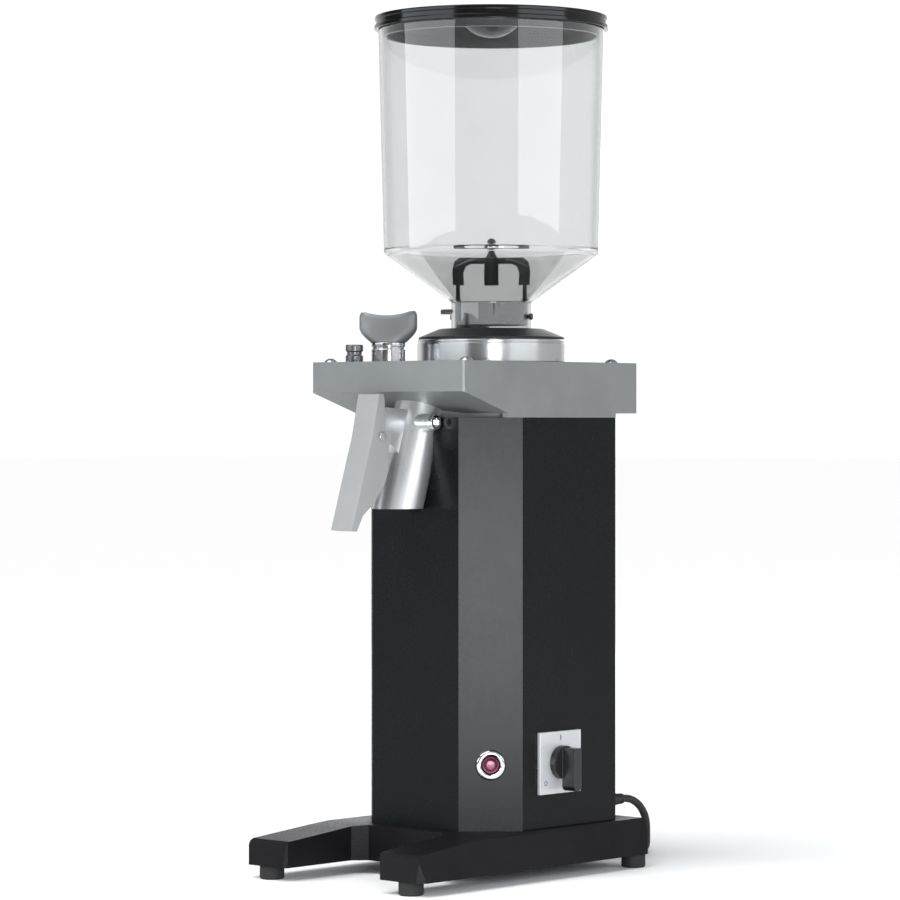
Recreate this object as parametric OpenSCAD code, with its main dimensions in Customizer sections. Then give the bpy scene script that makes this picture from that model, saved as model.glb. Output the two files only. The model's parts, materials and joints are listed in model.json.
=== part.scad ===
// Shop burr coffee grinder: cast base with two front legs, folded steel column with the
// motor inside, cast head with the burr chamber, angled spout with a bag clamp, clear hopper.
// Millimetres. +Z is up, -Y is the front (spout) side, +X is the switch side.
// The origin is on the floor, under the middle of the machine's outline.

/* [Base] */
// Height of the rubber feet
foot_h = 11; // [10:0.5:13]
// Diameter of a rubber foot
foot_d = 19.8; // [17:0.2:20]
// Top of the base casting, where the column stands
base_top_z = 40; // [38:1:42]
// Top of a front leg at its tip
toe_top_z = 32; // [30:1:35]
// Half width of the base at its lower edge
base_half_w = 98.5; // [97:0.5:101]
// Draft of the base's sides, from the lower edge to the upper
base_draft = 7.5; // [5:0.5:8]
// Half width of the gap between the front legs
gap_half_w = 51; // [48:1:54]

/* [Column] */
// Half width of the column
column_half_w = 84.2; // [84.2:0.1:85]
// Top of the column
column_top_z = 370; // [368:1:370]
// Thickness of the column's sheet steel
sheet = 2; // [1.5:0.5:2.5]

/* [Head] */
// Distance from the hopper's axis to the head's front face
head_front = 125; // [122:1:128]
// Distance from the hopper's axis to the head's rear face
head_rear = 86.8; // [85:0.1:88]
// Underside of the head
head_bottom_z = 373.5; // [373:0.5:374]
// Top of the head
head_top_z = 415; // [415:1:415]

/* [Spout and bag clamp] */
// Outer radius of the spout
spout_r = 20; // [19:0.5:21]
// Forward tilt of the spout
spout_tilt = 17.8; // [16:0.1:19]
// Height of the spout's mouth
mouth_z = 297; // [290:1:304]
// Half width of the bag clamp
clamp_half_w = 11.5; // [11.5:0.5:13]

/* [Hopper] */
// Outer radius of the hopper at its rim
hopper_rim_r = 93.3; // [92:0.1:94]
// Outer radius of the hopper where its cone starts
hopper_low_r = 88.8; // [86:0.1:91]
// Height where the cone meets the cylinder
cone_top_z = 505; // [500:1:512]
// Height of the hopper's rim
hopper_rim_z = 689; // [680:1:689]
// Thickness of the hopper's wall
hopper_wall = 3; // [2.5:0.5:3.5]
// Radius of the lid
lid_r = 96.6; // [96:0.1:98]

/* [Grinding set] */
// Outer radius of the burrs
burr_r = 42; // [40:0.5:42]
// Number of grooves in each burr
burr_grooves = 24; // [16:4:32]
// Gap between the burrs
burr_gap = 1; // [0.9:0.1:1.4]

/* [Controls] */
// Height of the start button's centre
button_z = 93; // [88:1:98]
// Height of the switch's centre
switch_z = 92.5; // [88:0.5:96]
// Width and height of the switch plate
switch_plate_w = 50; // [48:1:52]

/* [Hidden] */
$fn = 96;

// Distance from the outline's middle back to the hopper's axis
axis_y = 35;

// Base, measured from the hopper's axis
base_front = 188;
base_rear = 91;
gap_back = 103;
slope_start = 100;
gap_corner = 10;
base_floor = 8;
pocket_x = 74;
pocket_front = 86;
pocket_rear = 60;
cover_lip = 4;
cover_t = 2;
cover_gap = 0.3;
recess_x = pocket_x + cover_lip;
recess_front = pocket_front + cover_lip;
recess_rear = pocket_rear + cover_lip;
cover_slots = [-3 : 3];
cover_slot_pitch = 16;
cover_slot = [5, 60];
front_foot = [77, -177];
rear_foot = [87, 78];
foot_screw_r = 2.4;
foot_recess_r = 5;
foot_recess_h = 4;
foot_thread = 14;
shaft_hole_r = 28;
foot_spots = [
    [front_foot[0], front_foot[1]],
    [-front_foot[0], front_foot[1]],
    [rear_foot[0], rear_foot[1]],
    [-rear_foot[0], rear_foot[1]]
];

// Column
front_flat = 48;
column_front = 91.8;
rear_flat = 58.7;
column_rear = 84;
flange_w = 20;
column_screw_r = 2.4;
column_screw_spots = [[69, -40], [-69, -40], [69, 45], [-69, 45]];
rear_door_half_w = 46;
rear_door_z = [80, 350];
rear_cover_half_w = 52;
rear_cover_z = [74, 356];
rear_cover_t = 1.5;
rear_screw_x = [-49, 49];
rear_screw_z = [77, 353];
rear_screw_r = 1.7;
vent_half_w = 30;
vent_rows = [110, 240];
vent_pitch = 12;
vent_count = 8;

// Head
wedge_front_z = 390.5;
wedge_rear = 73;
rail_w = 6;
rail_rear = 59;
spigot_r = 81.5;
head_corner = 1.5;
head_screw_x = [-75, 75];
head_screw_y = [-112, 64];
head_screw_r = 2.5;
chamber_r = 52;
chamber_z = 381;
thread_r = 56;
thread_z = 399;
chute_half_w = 14;
chute_z = [383, 397];

// Motor and shaft
shaft_r = 8;
running = 0.05;
bearing_r = 17.5;
bearing_h = 11;
flange_z = 362;
bell_r = 62;
bell_h = 16;
lower_bell_z = 124;
upper_bell_z = 304;
housing_wall = 3;
stator_z = [185, 265];
rotor_r = 32.5;
air_gap = 0.8;
winding_h = 22;
winding_r = [37, 55];
nose_z = 394;
nose_r = 6;
fan_z = 146;
fan_r = 50;
fan_hub_r = 14;
fan_h = 13;

// Burrs
carrier_z = 384;
carrier_h = 6;
burr_h = 7;
burr_bore = 24;
burr_screw_circle = 33;
burr_screw_turns = [0, 120, 240];
burr_screw_r = 2;
burr_sink = 3.5;
lower_burr_z = carrier_z + carrier_h;
upper_burr_z = lower_burr_z + burr_h + burr_gap;
upper_carrier_z = upper_burr_z + burr_h;
upper_carrier_r = 44.7;

// Collar and hopper neck
collar_r = 61.2;
collar_bore = 45;
collar_z = head_top_z + 0.3;
collar_top_z = 434;
cap_top_z = 443;
cap_low_r = 60;
cap_high_r = 43;
cap_edge = 2;
neck_r = 33.2;
neck_bottom_z = 436;
neck_top_z = 465;
neck_in = neck_r - hopper_wall;
gate_z = 458;
gate_t = 3;
gate_half_w = 20.5;
gate_reach = 21;
gate_tab = 50;
gate_slack = 0.5;
neck_screw_turns = [22, 202];
neck_screw_z = 453;
neck_screw_r = 1.5;
guard_turn = 42;
guard_half_w = 6;
guard_foot_z = 466;
guard_low_z = 480;
guard_bar_z = 497.5;
guard_top_z = 502.5;

// Lid
lid_z = 689.2;
lid_top_z = 700;
lid_groove_z = [3.2, 7.6];
lid_skirt_r = hopper_rim_r - hopper_wall - 0.7;
lid_hollow_z = 670;
lid_roof_z = 694;
bowl_r = 25;
bowl_depth = 15;
bowl_wall = 2;
bowl_sphere = (bowl_r * bowl_r + bowl_depth * bowl_depth) / (2 * bowl_depth);

// Lock knob and index pin, on the head's front left corner
knob_spot = [-40, -81];
knob_turn = 42;
knob_reach = 23.7;
stem_r = 14;
spindle_r = 5;
knob_z = 431;
pin_spot = [-60, -100];
pin_r = 7.2;
pin_shank_r = 3;

// Spout and clamp
spout_top = [0, -86.5, 376];
spout_wall = 2;
spout_opening = 0.8;
boss_spot = [-99, 366];
pivot = [-142, 355];
pivot_r = 2.5;
ear_half_w = 6.5;
clamp_t = 2;

// Controls
button_spot = [(front_flat + column_half_w) / 2, (column_half_w - front_flat) / 2 - column_front];
bezel_r = 9.5;
button_r = 7.5;
switch_y = -13;
switch_hole_r = 12;
spindle_hole_r = 8;
switch_spindle_r = 4;
switch_back_x = 48;
switch_body_half = 21;
knob_face_x = 105.7;
switch_plate_t = 3;
knob_disc_r = 13.5;
capacitor_r = 17;

// Cord: the gland is on the column's rear face
gland = [40, 50];
gland_r = 6;
relief_end = 118;
cord_d = 6.5;
cord_sides = 10;
cord_steps = 2;
// Route of the cord, from the strain relief down to the floor and along it to the coil
lead_route = [
    [40, 153, 50],
    [40, 161, 50],
    [40, 169.5, 47.5],
    [40.5, 177, 42.5],
    [40, 182.5, 36.5],
    [40, 186, 29.5],
    [38.5, 188, 21],
    [35.5, 191.5, 14],
    [31.5, 196.5, 8.5],
    [26.5, 201.5, 5],
    [21, 207, 3.5],
    [14, 213, 3.4],
    [7.5, 219, 3.3],
    [1.5, 224.5, 3.3],
    [-4.5, 230.5, 3.3]
];
// Coil of the cord's spare length, behind the column
coil_spot = [-40, 195];
coil_r_in = 22.8;
coil_r_out = 53.4;
coil_h = 13.2;
// Route of the free end, from the coil's upper layer to the plug
tail_route = [
    [-40, 241, 9.9],
    [-51, 241, 10.4],
    [-62, 241, 12.2],
    [-73, 241, 14.8],
    [-84, 241, 17.4],
    [-94, 241, 18.5]
];
plug_spot = [-94, 241, 18.5];
plug_r = 18.4;

// ---- Shared shapes ----

// Moves children from the hopper's axis to the machine's frame
module at_axis() {
    translate([0, axis_y, 0]) children();
}

// Extrudes a (y, z) outline from -half to +half along X
module across_x(half) {
    rotate([90, 0, 90]) translate([0, 0, -half]) linear_extrude(2 * half) children();
}

// Extrudes an (x, z) outline from y0 to y1
module along_y(y0, y1) {
    translate([0, y1, 0]) rotate([90, 0, 0]) linear_extrude(y1 - y0) children();
}

// Ring between two radii
module ring(r_out, r_in, h) {
    difference() {
        cylinder(r = r_out, h = h);
        translate([0, 0, -1]) cylinder(r = r_in, h = h + 2);
    }
}

// Cylinder along X, from x0 to x1
module rod_x(r, x0, x1) {
    translate([x0, 0, 0]) rotate([0, 90, 0]) cylinder(r = r, h = x1 - x0);
}

// Screw with its shank down and the underside of its head at z = 0
module screw(head_r, head_h, shank_r, shank_l, drive_r) {
    difference() {
        union() {
            cylinder(r = head_r, h = head_h);
            translate([0, 0, -shank_l]) cylinder(r = shank_r, h = shank_l + head_h / 2);
        }
        translate([0, 0, head_h / 2]) cylinder(r = drive_r, h = head_h, $fn = 6);
    }
}

// Points of a right half, followed by their mirror images, so that they close an outline
function both(pts) = concat(pts, [for (i = [len(pts) - 1 : -1 : 0]) [-pts[i][0], pts[i][1]]]);

// Column outline, moved inwards by t
function column_outline(t) = let (k = t * (sqrt(2) - 1)) both([
    [front_flat - k, t - column_front],
    [column_half_w - t, k - column_front + column_half_w - front_flat],
    [column_half_w - t, column_rear - column_half_w + rear_flat - k],
    [rear_flat - k, column_rear - t]
]);

// Moves children to the spout's tube: local +Z runs up the tube, 0 is its top
module at_spout() {
    translate(spout_top) rotate([-spout_tilt, 0, 0]) children();
}

// Opening for the spout's tube, in the hopper's frame
module spout_hole() {
    at_spout() translate([0, 0, -110]) cylinder(r = spout_r + spout_opening, h = 120);
}

// ---- Base ----

module base() {
    top_half = base_half_w - base_draft;
    plan = both([
        [gap_half_w - gap_corner, -gap_back],
        [gap_half_w, -gap_back - gap_corner],
        [gap_half_w, 3 - base_front],
        [gap_half_w + 3, -base_front],
        [base_half_w - 6, -base_front],
        [base_half_w, 6 - base_front],
        [base_half_w, base_rear - 8],
        [base_half_w - 8, base_rear]
    ]);
    side = [
        [-base_front, foot_h],
        [2 - base_front, toe_top_z - 2],
        [5 - base_front, toe_top_z],
        [-slope_start, base_top_z],
        [base_rear - 4, base_top_z],
        [base_rear - 3, base_top_z - 2],
        [base_rear, foot_h]
    ];
    front = both([
        [base_half_w, foot_h],
        [top_half, base_top_z - 2],
        [top_half - 2, base_top_z]
    ]);
    color("#2a2a2d") at_axis() difference() {
        intersection() {
            linear_extrude(base_top_z + 1) polygon(plan);
            across_x(base_half_w + 1) polygon(side);
            along_y(-base_front - 1, base_rear + 1) polygon(front);
        }
        translate([-pocket_x, -pocket_front, 0])
            cube([2 * pocket_x, pocket_front + pocket_rear, base_top_z - base_floor]);
        translate([-recess_x, -recess_front, 0])
            cube([2 * recess_x, recess_front + recess_rear, foot_h + cover_t]);
        cylinder(r = shaft_hole_r, h = base_top_z + 1);
        for (p = foot_spots)
            translate([p[0], p[1], 0]) cylinder(r = foot_screw_r, h = foot_h + foot_thread);
        for (p = column_screw_spots)
            translate([p[0], p[1], 0]) cylinder(r = column_screw_r, h = base_top_z + 1);
    }
}

module bottom_cover() {
    half = recess_x - cover_gap;
    front = recess_front - cover_gap;
    rear = recess_rear - cover_gap;
    color("#303033") at_axis() difference() {
        translate([-half, -front, foot_h]) cube([2 * half, front + rear, cover_t]);
        for (i = cover_slots)
            translate([i * cover_slot_pitch - cover_slot[0] / 2, -45, foot_h - 1])
                cube([cover_slot[0], cover_slot[1], cover_t + 2]);
    }
}

module rubber_feet() {
    color("#1b1b1c") at_axis() for (p = foot_spots) translate([p[0], p[1], 0]) difference() {
        union() {
            cylinder(r1 = foot_d / 2 - 1, r2 = foot_d / 2, h = 1.5);
            translate([0, 0, 1.5]) cylinder(r = foot_d / 2, h = foot_h - 1.5);
        }
        translate([0, 0, -1]) cylinder(r = foot_recess_r, h = foot_recess_h + 1);
        cylinder(r = foot_screw_r, h = foot_h + 1);
    }
}

module foot_screws() {
    color("silver") at_axis() for (p = foot_spots)
        translate([p[0], p[1], foot_recess_h]) mirror([0, 0, 1]) screw(4.4, 2.4, foot_screw_r, 16, 1.5);
}

// ---- Column ----

module column_shell() {
    color("#2f3134") at_axis() difference() {
        translate([0, 0, base_top_z])
            linear_extrude(column_top_z - base_top_z) polygon(column_outline(0));
        translate([0, 0, base_top_z + sheet])
            linear_extrude(column_top_z) polygon(column_outline(sheet));
        linear_extrude(base_top_z + sheet + 1) polygon(column_outline(flange_w));
        translate([-rear_door_half_w, column_rear - sheet - 1, rear_door_z[0]])
            cube([2 * rear_door_half_w, sheet + 2, rear_door_z[1] - rear_door_z[0]]);
        for (p = column_screw_spots)
            translate([p[0], p[1], 0]) cylinder(r = column_screw_r, h = base_top_z + 20);
        for (x = rear_screw_x) for (z = rear_screw_z)
            translate([x, column_rear + 1, z])
                rotate([90, 0, 0]) cylinder(r = rear_screw_r, h = sheet + 2);
        translate([gland[0], column_rear + 1, gland[1]])
            rotate([90, 0, 0]) cylinder(r = gland_r, h = sheet + 2);
        at_button() translate([0, 0, -sheet - 2]) cylinder(r = bezel_r + 0.1, h = sheet + 4);
        translate([0, switch_y, switch_z])
            rod_x(switch_hole_r, column_half_w - sheet - 1, column_half_w + 1);
        spout_hole();
    }
}

module column_screws() {
    color("silver") at_axis() for (p = column_screw_spots)
        translate([p[0], p[1], base_top_z - base_floor]) mirror([0, 0, 1])
            screw(4.2, 2.8, column_screw_r, base_floor + sheet, 1.7);
}

module rear_cover() {
    color("#303235") at_axis() difference() {
        translate([-rear_cover_half_w, column_rear, rear_cover_z[0]])
            cube([2 * rear_cover_half_w, rear_cover_t, rear_cover_z[1] - rear_cover_z[0]]);
        for (row_z = vent_rows) for (i = [0 : vent_count - 1])
            translate([-vent_half_w, column_rear - 1, row_z + i * vent_pitch])
                cube([2 * vent_half_w, rear_cover_t + 2, vent_pitch / 3]);
        for (x = rear_screw_x) for (z = rear_screw_z)
            translate([x, column_rear + 3, z]) rotate([90, 0, 0]) cylinder(r = rear_screw_r, h = 6);
    }
}

module rear_cover_screws() {
    color("silver") at_axis() for (x = rear_screw_x) for (z = rear_screw_z)
        translate([x, column_rear + rear_cover_t, z])
            rotate([-90, 0, 0]) screw(2.9, 1.8, rear_screw_r, 6, 1.1);
}

// ---- Head ----

module head_casting() {
    side = [
        [-head_front, wedge_front_z],
        [-head_front, head_top_z],
        [head_rear, head_top_z],
        [head_rear, head_bottom_z],
        [-wedge_rear, head_bottom_z]
    ];
    plan = both([
        [column_half_w - head_corner, -head_front],
        [column_half_w, head_corner - head_front],
        [column_half_w, head_rear - head_corner],
        [column_half_w - head_corner, head_rear]
    ]);
    color("#9aa09e") at_axis() difference() {
        union() {
            intersection() {
                across_x(column_half_w + 1) polygon(side);
                translate([0, 0, column_top_z]) linear_extrude(head_top_z - column_top_z) polygon(plan);
            }
            for (s = [-1, 1])
                translate([s * (column_half_w - rail_w / 2) - rail_w / 2, -wedge_rear, column_top_z])
                    cube([rail_w, wedge_rear + rail_rear, head_bottom_z - column_top_z + 1]);
            translate([0, 0, column_top_z]) cylinder(r = spigot_r, h = 12);
        }
        translate([0, 0, chamber_z]) cylinder(r = chamber_r, h = 50);
        translate([0, 0, thread_z]) cylinder(r = thread_r, h = 50);
        translate([0, 0, column_top_z - 1]) cylinder(r = bearing_r, h = bearing_h + 1);
        translate([-chute_half_w, spout_top[1] - 4, chute_z[0]])
            cube([2 * chute_half_w, 50, chute_z[1] - chute_z[0]]);
        at_spout() {
            translate([0, 0, -20]) cylinder(r = spout_r + 0.1, h = 28);
            translate([0, 0, 7]) cylinder(r = spout_r - spout_wall, h = 11);
        }
        for (x = head_screw_x) for (y = head_screw_y)
            translate([x, y, head_top_z - 18]) cylinder(r = head_screw_r, h = 20);
        translate([knob_spot[0], knob_spot[1], head_top_z - 18])
            cylinder(r = spindle_r + running, h = 20);
        translate([pin_spot[0], pin_spot[1], head_top_z - 13]) cylinder(r = pin_shank_r, h = 20);
    }
}

module head_screws() {
    color("silver") at_axis() for (x = head_screw_x) for (y = head_screw_y)
        translate([x, y, head_top_z]) difference() {
            union() {
                intersection() {
                    translate([0, 0, -3]) sphere(r = 6.4);
                    cylinder(r = 5.6, h = 4);
                }
                translate([0, 0, -16]) cylinder(r = head_screw_r, h = 17);
            }
            translate([0, 0, 1.6]) cylinder(r = 1.7, h = 4, $fn = 6);
        }
}

// ---- Motor ----

module motor_flange() {
    color("#8f9392") at_axis() difference() {
        translate([0, 0, flange_z]) cylinder(r = 80, h = column_top_z - flange_z);
        translate([0, 0, flange_z - 1]) cylinder(r = 12, h = 20);
        spout_hole();
    }
}

module motor_housing() {
    color("#6b6e70") at_axis() translate([0, 0, lower_bell_z + bell_h])
        ring(bell_r, bell_r - housing_wall, upper_bell_z - lower_bell_z - bell_h);
}

module stator_core() {
    color("#55585a") at_axis() translate([0, 0, stator_z[0]])
        ring(bell_r - housing_wall, rotor_r + air_gap, stator_z[1] - stator_z[0]);
}

module stator_windings() {
    color("#b4622d") at_axis() for (z = [stator_z[0] - winding_h, stator_z[1]])
        translate([0, 0, z]) ring(winding_r[1], winding_r[0], winding_h);
}

module upper_end_bell() {
    color("#8f9392") at_axis() difference() {
        union() {
            translate([0, 0, upper_bell_z]) cylinder(r = bell_r, h = bell_h);
            for (a = [45 : 90 : 315]) rotate(a) translate([50, 0, upper_bell_z])
                cylinder(r = 6, h = flange_z - upper_bell_z);
        }
        translate([0, 0, upper_bell_z - 1]) cylinder(r = bearing_r, h = bearing_h + 1);
        translate([0, 0, upper_bell_z]) cylinder(r = shaft_r + 1.5, h = bell_h + 1);
    }
}

module lower_end_bell() {
    color("#8f9392") at_axis() translate([0, 0, lower_bell_z]) difference() {
        cylinder(r = bell_r, h = bell_h);
        translate([0, 0, bell_h - bearing_h]) cylinder(r = bearing_r, h = bearing_h + 1);
        translate([0, 0, -1]) cylinder(r = shaft_r + 1.5, h = bell_h);
    }
}

module shaft_bearings() {
    color("silver") at_axis() for (z = [lower_bell_z + bell_h - bearing_h, upper_bell_z, column_top_z])
        translate([0, 0, z]) difference() {
            ring(bearing_r, shaft_r + running, bearing_h);
            for (face = [-1, bearing_h - 1]) translate([0, 0, face]) ring(15, 11, 2);
        }
}

module rotor_shaft() {
    color("silver") at_axis() {
        translate([0, 0, lower_bell_z - 4]) cylinder(r = shaft_r, h = nose_z - lower_bell_z + 4);
        translate([0, 0, nose_z]) cylinder(r = nose_r, h = 9);
    }
}

module rotor_core() {
    color("#5c5f61") at_axis() translate([0, 0, stator_z[0] - 2])
        ring(rotor_r, shaft_r, stator_z[1] - stator_z[0] + 4);
}

module cooling_fan() {
    color("#222325") at_axis() translate([0, 0, fan_z]) difference() {
        union() {
            cylinder(r = fan_r, h = 2);
            cylinder(r = fan_hub_r, h = fan_h);
            for (a = [0 : 45 : 315]) rotate(a)
                translate([fan_hub_r - 2, -1.2, 0]) cube([fan_r - fan_hub_r, 2.4, fan_h]);
        }
        translate([0, 0, -1]) cylinder(r = shaft_r, h = 20);
    }
}

// ---- Grinding set ----

// Flat burr with its teeth up: an annulus with slanting grooves and three screw holes
module burr() {
    difference() {
        ring(burr_r, burr_bore, burr_h);
        translate([0, 0, burr_h - 2]) cylinder(r1 = burr_bore, r2 = burr_bore + 6, h = 2.1);
        for (i = [0 : burr_grooves - 1]) rotate(i * 360 / burr_grooves)
            translate([burr_bore - 4, 6, burr_h - 0.8]) rotate([0, 0, -14]) cube([burr_r, 1.6, 2]);
        for (a = burr_screw_turns) rotate(a) translate([burr_screw_circle, 0, 0]) {
            translate([0, 0, -1]) cylinder(r = burr_screw_r, h = burr_h + 2);
            translate([0, 0, burr_h - burr_sink]) cylinder(r = 3.4, h = 5);
        }
    }
}

module burr_screws() {
    for (a = burr_screw_turns) rotate(a) translate([burr_screw_circle, 0, burr_h - burr_sink])
        screw(3.2, 2.2, burr_screw_r, burr_h - burr_sink + 4, 1.3);
}

module lower_burr_carrier() {
    color("#a9adaf") at_axis() translate([0, 0, carrier_z]) difference() {
        union() {
            cylinder(r = 46, h = carrier_h);
            translate([0, 0, -2]) cylinder(r = 14, h = carrier_h + 6);
            for (a = [60, 180, 300]) rotate(a) translate([40, -3, 0]) cube([10.5, 6, carrier_h]);
        }
        translate([0, 0, -3]) cylinder(r = shaft_r, h = 20);
        for (a = burr_screw_turns) rotate(a)
            translate([burr_screw_circle, 0, -1]) cylinder(r = burr_screw_r, h = 20);
    }
}

module lower_burr() {
    color("#c4c8ca") at_axis() translate([0, 0, lower_burr_z]) burr();
}

module lower_burr_screws() {
    color("silver") at_axis() translate([0, 0, lower_burr_z]) burr_screws();
}

module carrier_nut() {
    color("silver") at_axis() translate([0, 0, carrier_z + carrier_h + 4]) difference() {
        cylinder(r = 11, h = 6, $fn = 6);
        translate([0, 0, -1]) cylinder(r = nose_r, h = 10);
    }
}

module upper_burr_carrier() {
    color("#a9adaf") at_axis() translate([0, 0, upper_carrier_z]) difference() {
        cylinder(r = upper_carrier_r, h = 23);
        translate([0, 0, -1]) cylinder(r = burr_bore, h = 10);
        translate([0, 0, 8.9]) cylinder(r1 = burr_bore, r2 = 35, h = 14.2);
        for (a = burr_screw_turns) rotate(a)
            translate([burr_screw_circle, 0, -1]) cylinder(r = burr_screw_r, h = 6);
    }
}

module upper_burr() {
    color("#c4c8ca") at_axis() translate([0, 0, upper_carrier_z]) mirror([0, 0, 1]) burr();
}

module upper_burr_screws() {
    color("silver") at_axis() translate([0, 0, upper_carrier_z]) mirror([0, 0, 1]) burr_screws();
}

// ---- Collar, hopper and gate ----

module adjusting_collar() {
    color("#d0d2d3") at_axis() difference() {
        union() {
            translate([0, 0, collar_z]) cylinder(r = collar_r, h = collar_top_z - collar_z);
            translate([0, 0, thread_z + 3]) cylinder(r = thread_r - running, h = 20);
        }
        translate([0, 0, thread_z]) cylinder(r = collar_bore, h = 60);
    }
}

module collar_cap() {
    color("#4a4c50") at_axis() difference() {
        union() {
            translate([0, 0, collar_top_z]) cylinder(r = cap_low_r, h = cap_edge);
            translate([0, 0, collar_top_z + cap_edge])
                cylinder(r1 = cap_low_r, r2 = cap_high_r, h = cap_top_z - collar_top_z - cap_edge);
        }
        translate([0, 0, neck_bottom_z]) cylinder(r = neck_r, h = 20);
        translate([0, 0, collar_top_z - 1]) cylinder(r = 27, h = 20);
    }
}

module hopper() {
    wall = hopper_wall;
    outline = [
        [neck_r, neck_bottom_z],
        [neck_r, neck_top_z],
        [hopper_low_r, cone_top_z],
        [hopper_rim_r, hopper_rim_z],
        [hopper_rim_r - wall, hopper_rim_z],
        [hopper_low_r - wall, cone_top_z + 1.5],
        [neck_in, neck_top_z + 2],
        [neck_in, neck_bottom_z]
    ];
    slot_h = gate_t + 2 * gate_slack;
    color([0.85, 0.88, 0.9, 0.35]) at_axis() difference() {
        rotate_extrude() polygon(outline);
        translate([-neck_r - 4, -gate_half_w - gate_slack, gate_z - slot_h / 2])
            cube([neck_r, 2 * (gate_half_w + gate_slack), slot_h]);
        for (a = neck_screw_turns) rotate(a)
            translate([0, 0, neck_screw_z]) rod_x(neck_screw_r, neck_in - 2, neck_r + 2);
    }
}

module gate_housing() {
    slot_h = gate_t + 2 * gate_slack;
    outline = [
        [neck_in - 0.1, 446],
        [neck_in - 0.1, 466],
        [26, 466],
        [19.5, 462],
        [19.5, 453],
        [25, 446]
    ];
    color("#b9bcbe") at_axis() difference() {
        rotate_extrude() polygon(outline);
        translate([-neck_r, -gate_half_w - gate_slack, gate_z - slot_h / 2])
            cube([neck_r + gate_reach + gate_slack, 2 * (gate_half_w + gate_slack), slot_h]);
        for (a = neck_screw_turns) rotate(a)
            translate([0, 0, neck_screw_z]) rod_x(neck_screw_r, neck_in - 6, neck_r + 2);
    }
}

module gate_slide() {
    color("#1f2022") at_axis() {
        translate([-neck_r - 3, -gate_half_w, gate_z - gate_t / 2])
            cube([neck_r + 3 + gate_reach, 2 * gate_half_w, gate_t]);
        translate([-gate_tab, -8, gate_z - 2]) cube([gate_tab - neck_r - 3, 16, 4]);
    }
}

module finger_guard() {
    haunch = [
        [17, guard_top_z],
        [26, guard_top_z],
        [30.5, guard_top_z - 3.5],
        [32, guard_top_z - 10.5],
        [31.5, guard_low_z],
        [22.5, guard_low_z],
        [23, guard_low_z + 10],
        [21, guard_bar_z - 2],
        [17, guard_bar_z]
    ];
    color("#141415") at_axis() rotate(guard_turn) {
        for (s = [0, 1]) mirror([s, 0, 0]) {
            along_y(-guard_half_w, guard_half_w) polygon(haunch);
            for (y = [-4, 4]) translate([27.5, y, guard_foot_z])
                cylinder(r = 1.6, h = guard_low_z - guard_foot_z + 1);
        }
        translate([-18, -3.5, guard_bar_z]) cube([36, 7, guard_top_z - guard_bar_z]);
        translate([0, 0, guard_low_z]) cylinder(r = 6, h = guard_top_z - guard_low_z);
    }
}

module guard_knob() {
    color("#141415") at_axis() {
        translate([0, 0, guard_top_z]) cylinder(r1 = 5, r2 = 2.4, h = 9);
        translate([0, 0, guard_top_z + 11.5]) sphere(r = 3.8);
    }
}

module neck_screws() {
    color("#5a5c5e") at_axis() for (a = neck_screw_turns) rotate(a) translate([0, 0, neck_screw_z]) {
        rod_x(neck_screw_r, neck_in - 5, neck_r + 1);
        rod_x(2.6, neck_r + 0.1, neck_r + 2.4);
    }
}

module hopper_lid() {
    sphere_z = lid_top_z + bowl_sphere - bowl_depth;
    color("#1c1c1d") at_axis() difference() {
        union() {
            translate([0, 0, lid_z]) cylinder(r = lid_r, h = lid_groove_z[0]);
            translate([0, 0, lid_z + lid_groove_z[0]])
                cylinder(r = lid_r - 1.3, h = lid_groove_z[1] - lid_groove_z[0]);
            translate([0, 0, lid_z + lid_groove_z[1]])
                cylinder(r = lid_r - 0.5, h = lid_top_z - lid_z - lid_groove_z[1]);
            translate([0, 0, lid_z - 6]) ring(lid_skirt_r, lid_skirt_r - 3, 7);
            intersection() {
                translate([0, 0, sphere_z]) sphere(r = bowl_sphere + bowl_wall);
                translate([0, 0, lid_hollow_z]) cylinder(r = 40, h = 22);
            }
        }
        translate([0, 0, sphere_z]) sphere(r = bowl_sphere);
        difference() {
            translate([0, 0, lid_hollow_z]) cylinder(r = lid_r - 8, h = lid_roof_z - lid_hollow_z);
            translate([0, 0, lid_z - 7]) ring(lid_r, lid_skirt_r - 3, 8);
            translate([0, 0, sphere_z]) sphere(r = bowl_sphere + bowl_wall);
        }
    }
}

module lid_grip() {
    color("#1c1c1d") at_axis() translate([-19, -4, 690]) cube([38, 8, 8]);
}

// ---- Lock knob and index pin ----

module lock_knob() {
    outline = both([
        [14, 0],
        [18, 2],
        [22, 7],
        [knob_reach, 13],
        [knob_reach, 22],
        [21.5, 26],
        [14, 26],
        [6, 23.2],
        [0, 22.3]
    ]);
    color("#a3a6a6") at_axis()
        translate([knob_spot[0], knob_spot[1], knob_z]) rotate(knob_turn) intersection() {
            along_y(-13, 13) polygon(outline);
            cylinder(r = knob_reach, h = 30);
        }
}

module lock_stem() {
    color("#cfd1d2") at_axis() translate([knob_spot[0], knob_spot[1], 0]) {
        translate([0, 0, head_top_z + 0.3]) cylinder(r = stem_r, h = knob_z - head_top_z - 0.3);
        translate([0, 0, head_top_z - 17]) cylinder(r = spindle_r, h = 18);
    }
}

module index_pin() {
    color("#b0b2b3") at_axis() translate([pin_spot[0], pin_spot[1], head_top_z]) {
        cylinder(r = pin_r, h = 5.5);
        translate([0, 0, 5]) cylinder(r = pin_r - 1, h = 5);
        translate([0, 0, 9]) cylinder(r = pin_r, h = 5.5);
        translate([0, 0, -13]) cylinder(r = pin_shank_r, h = 14);
    }
}

// ---- Spout and bag clamp ----

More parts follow.
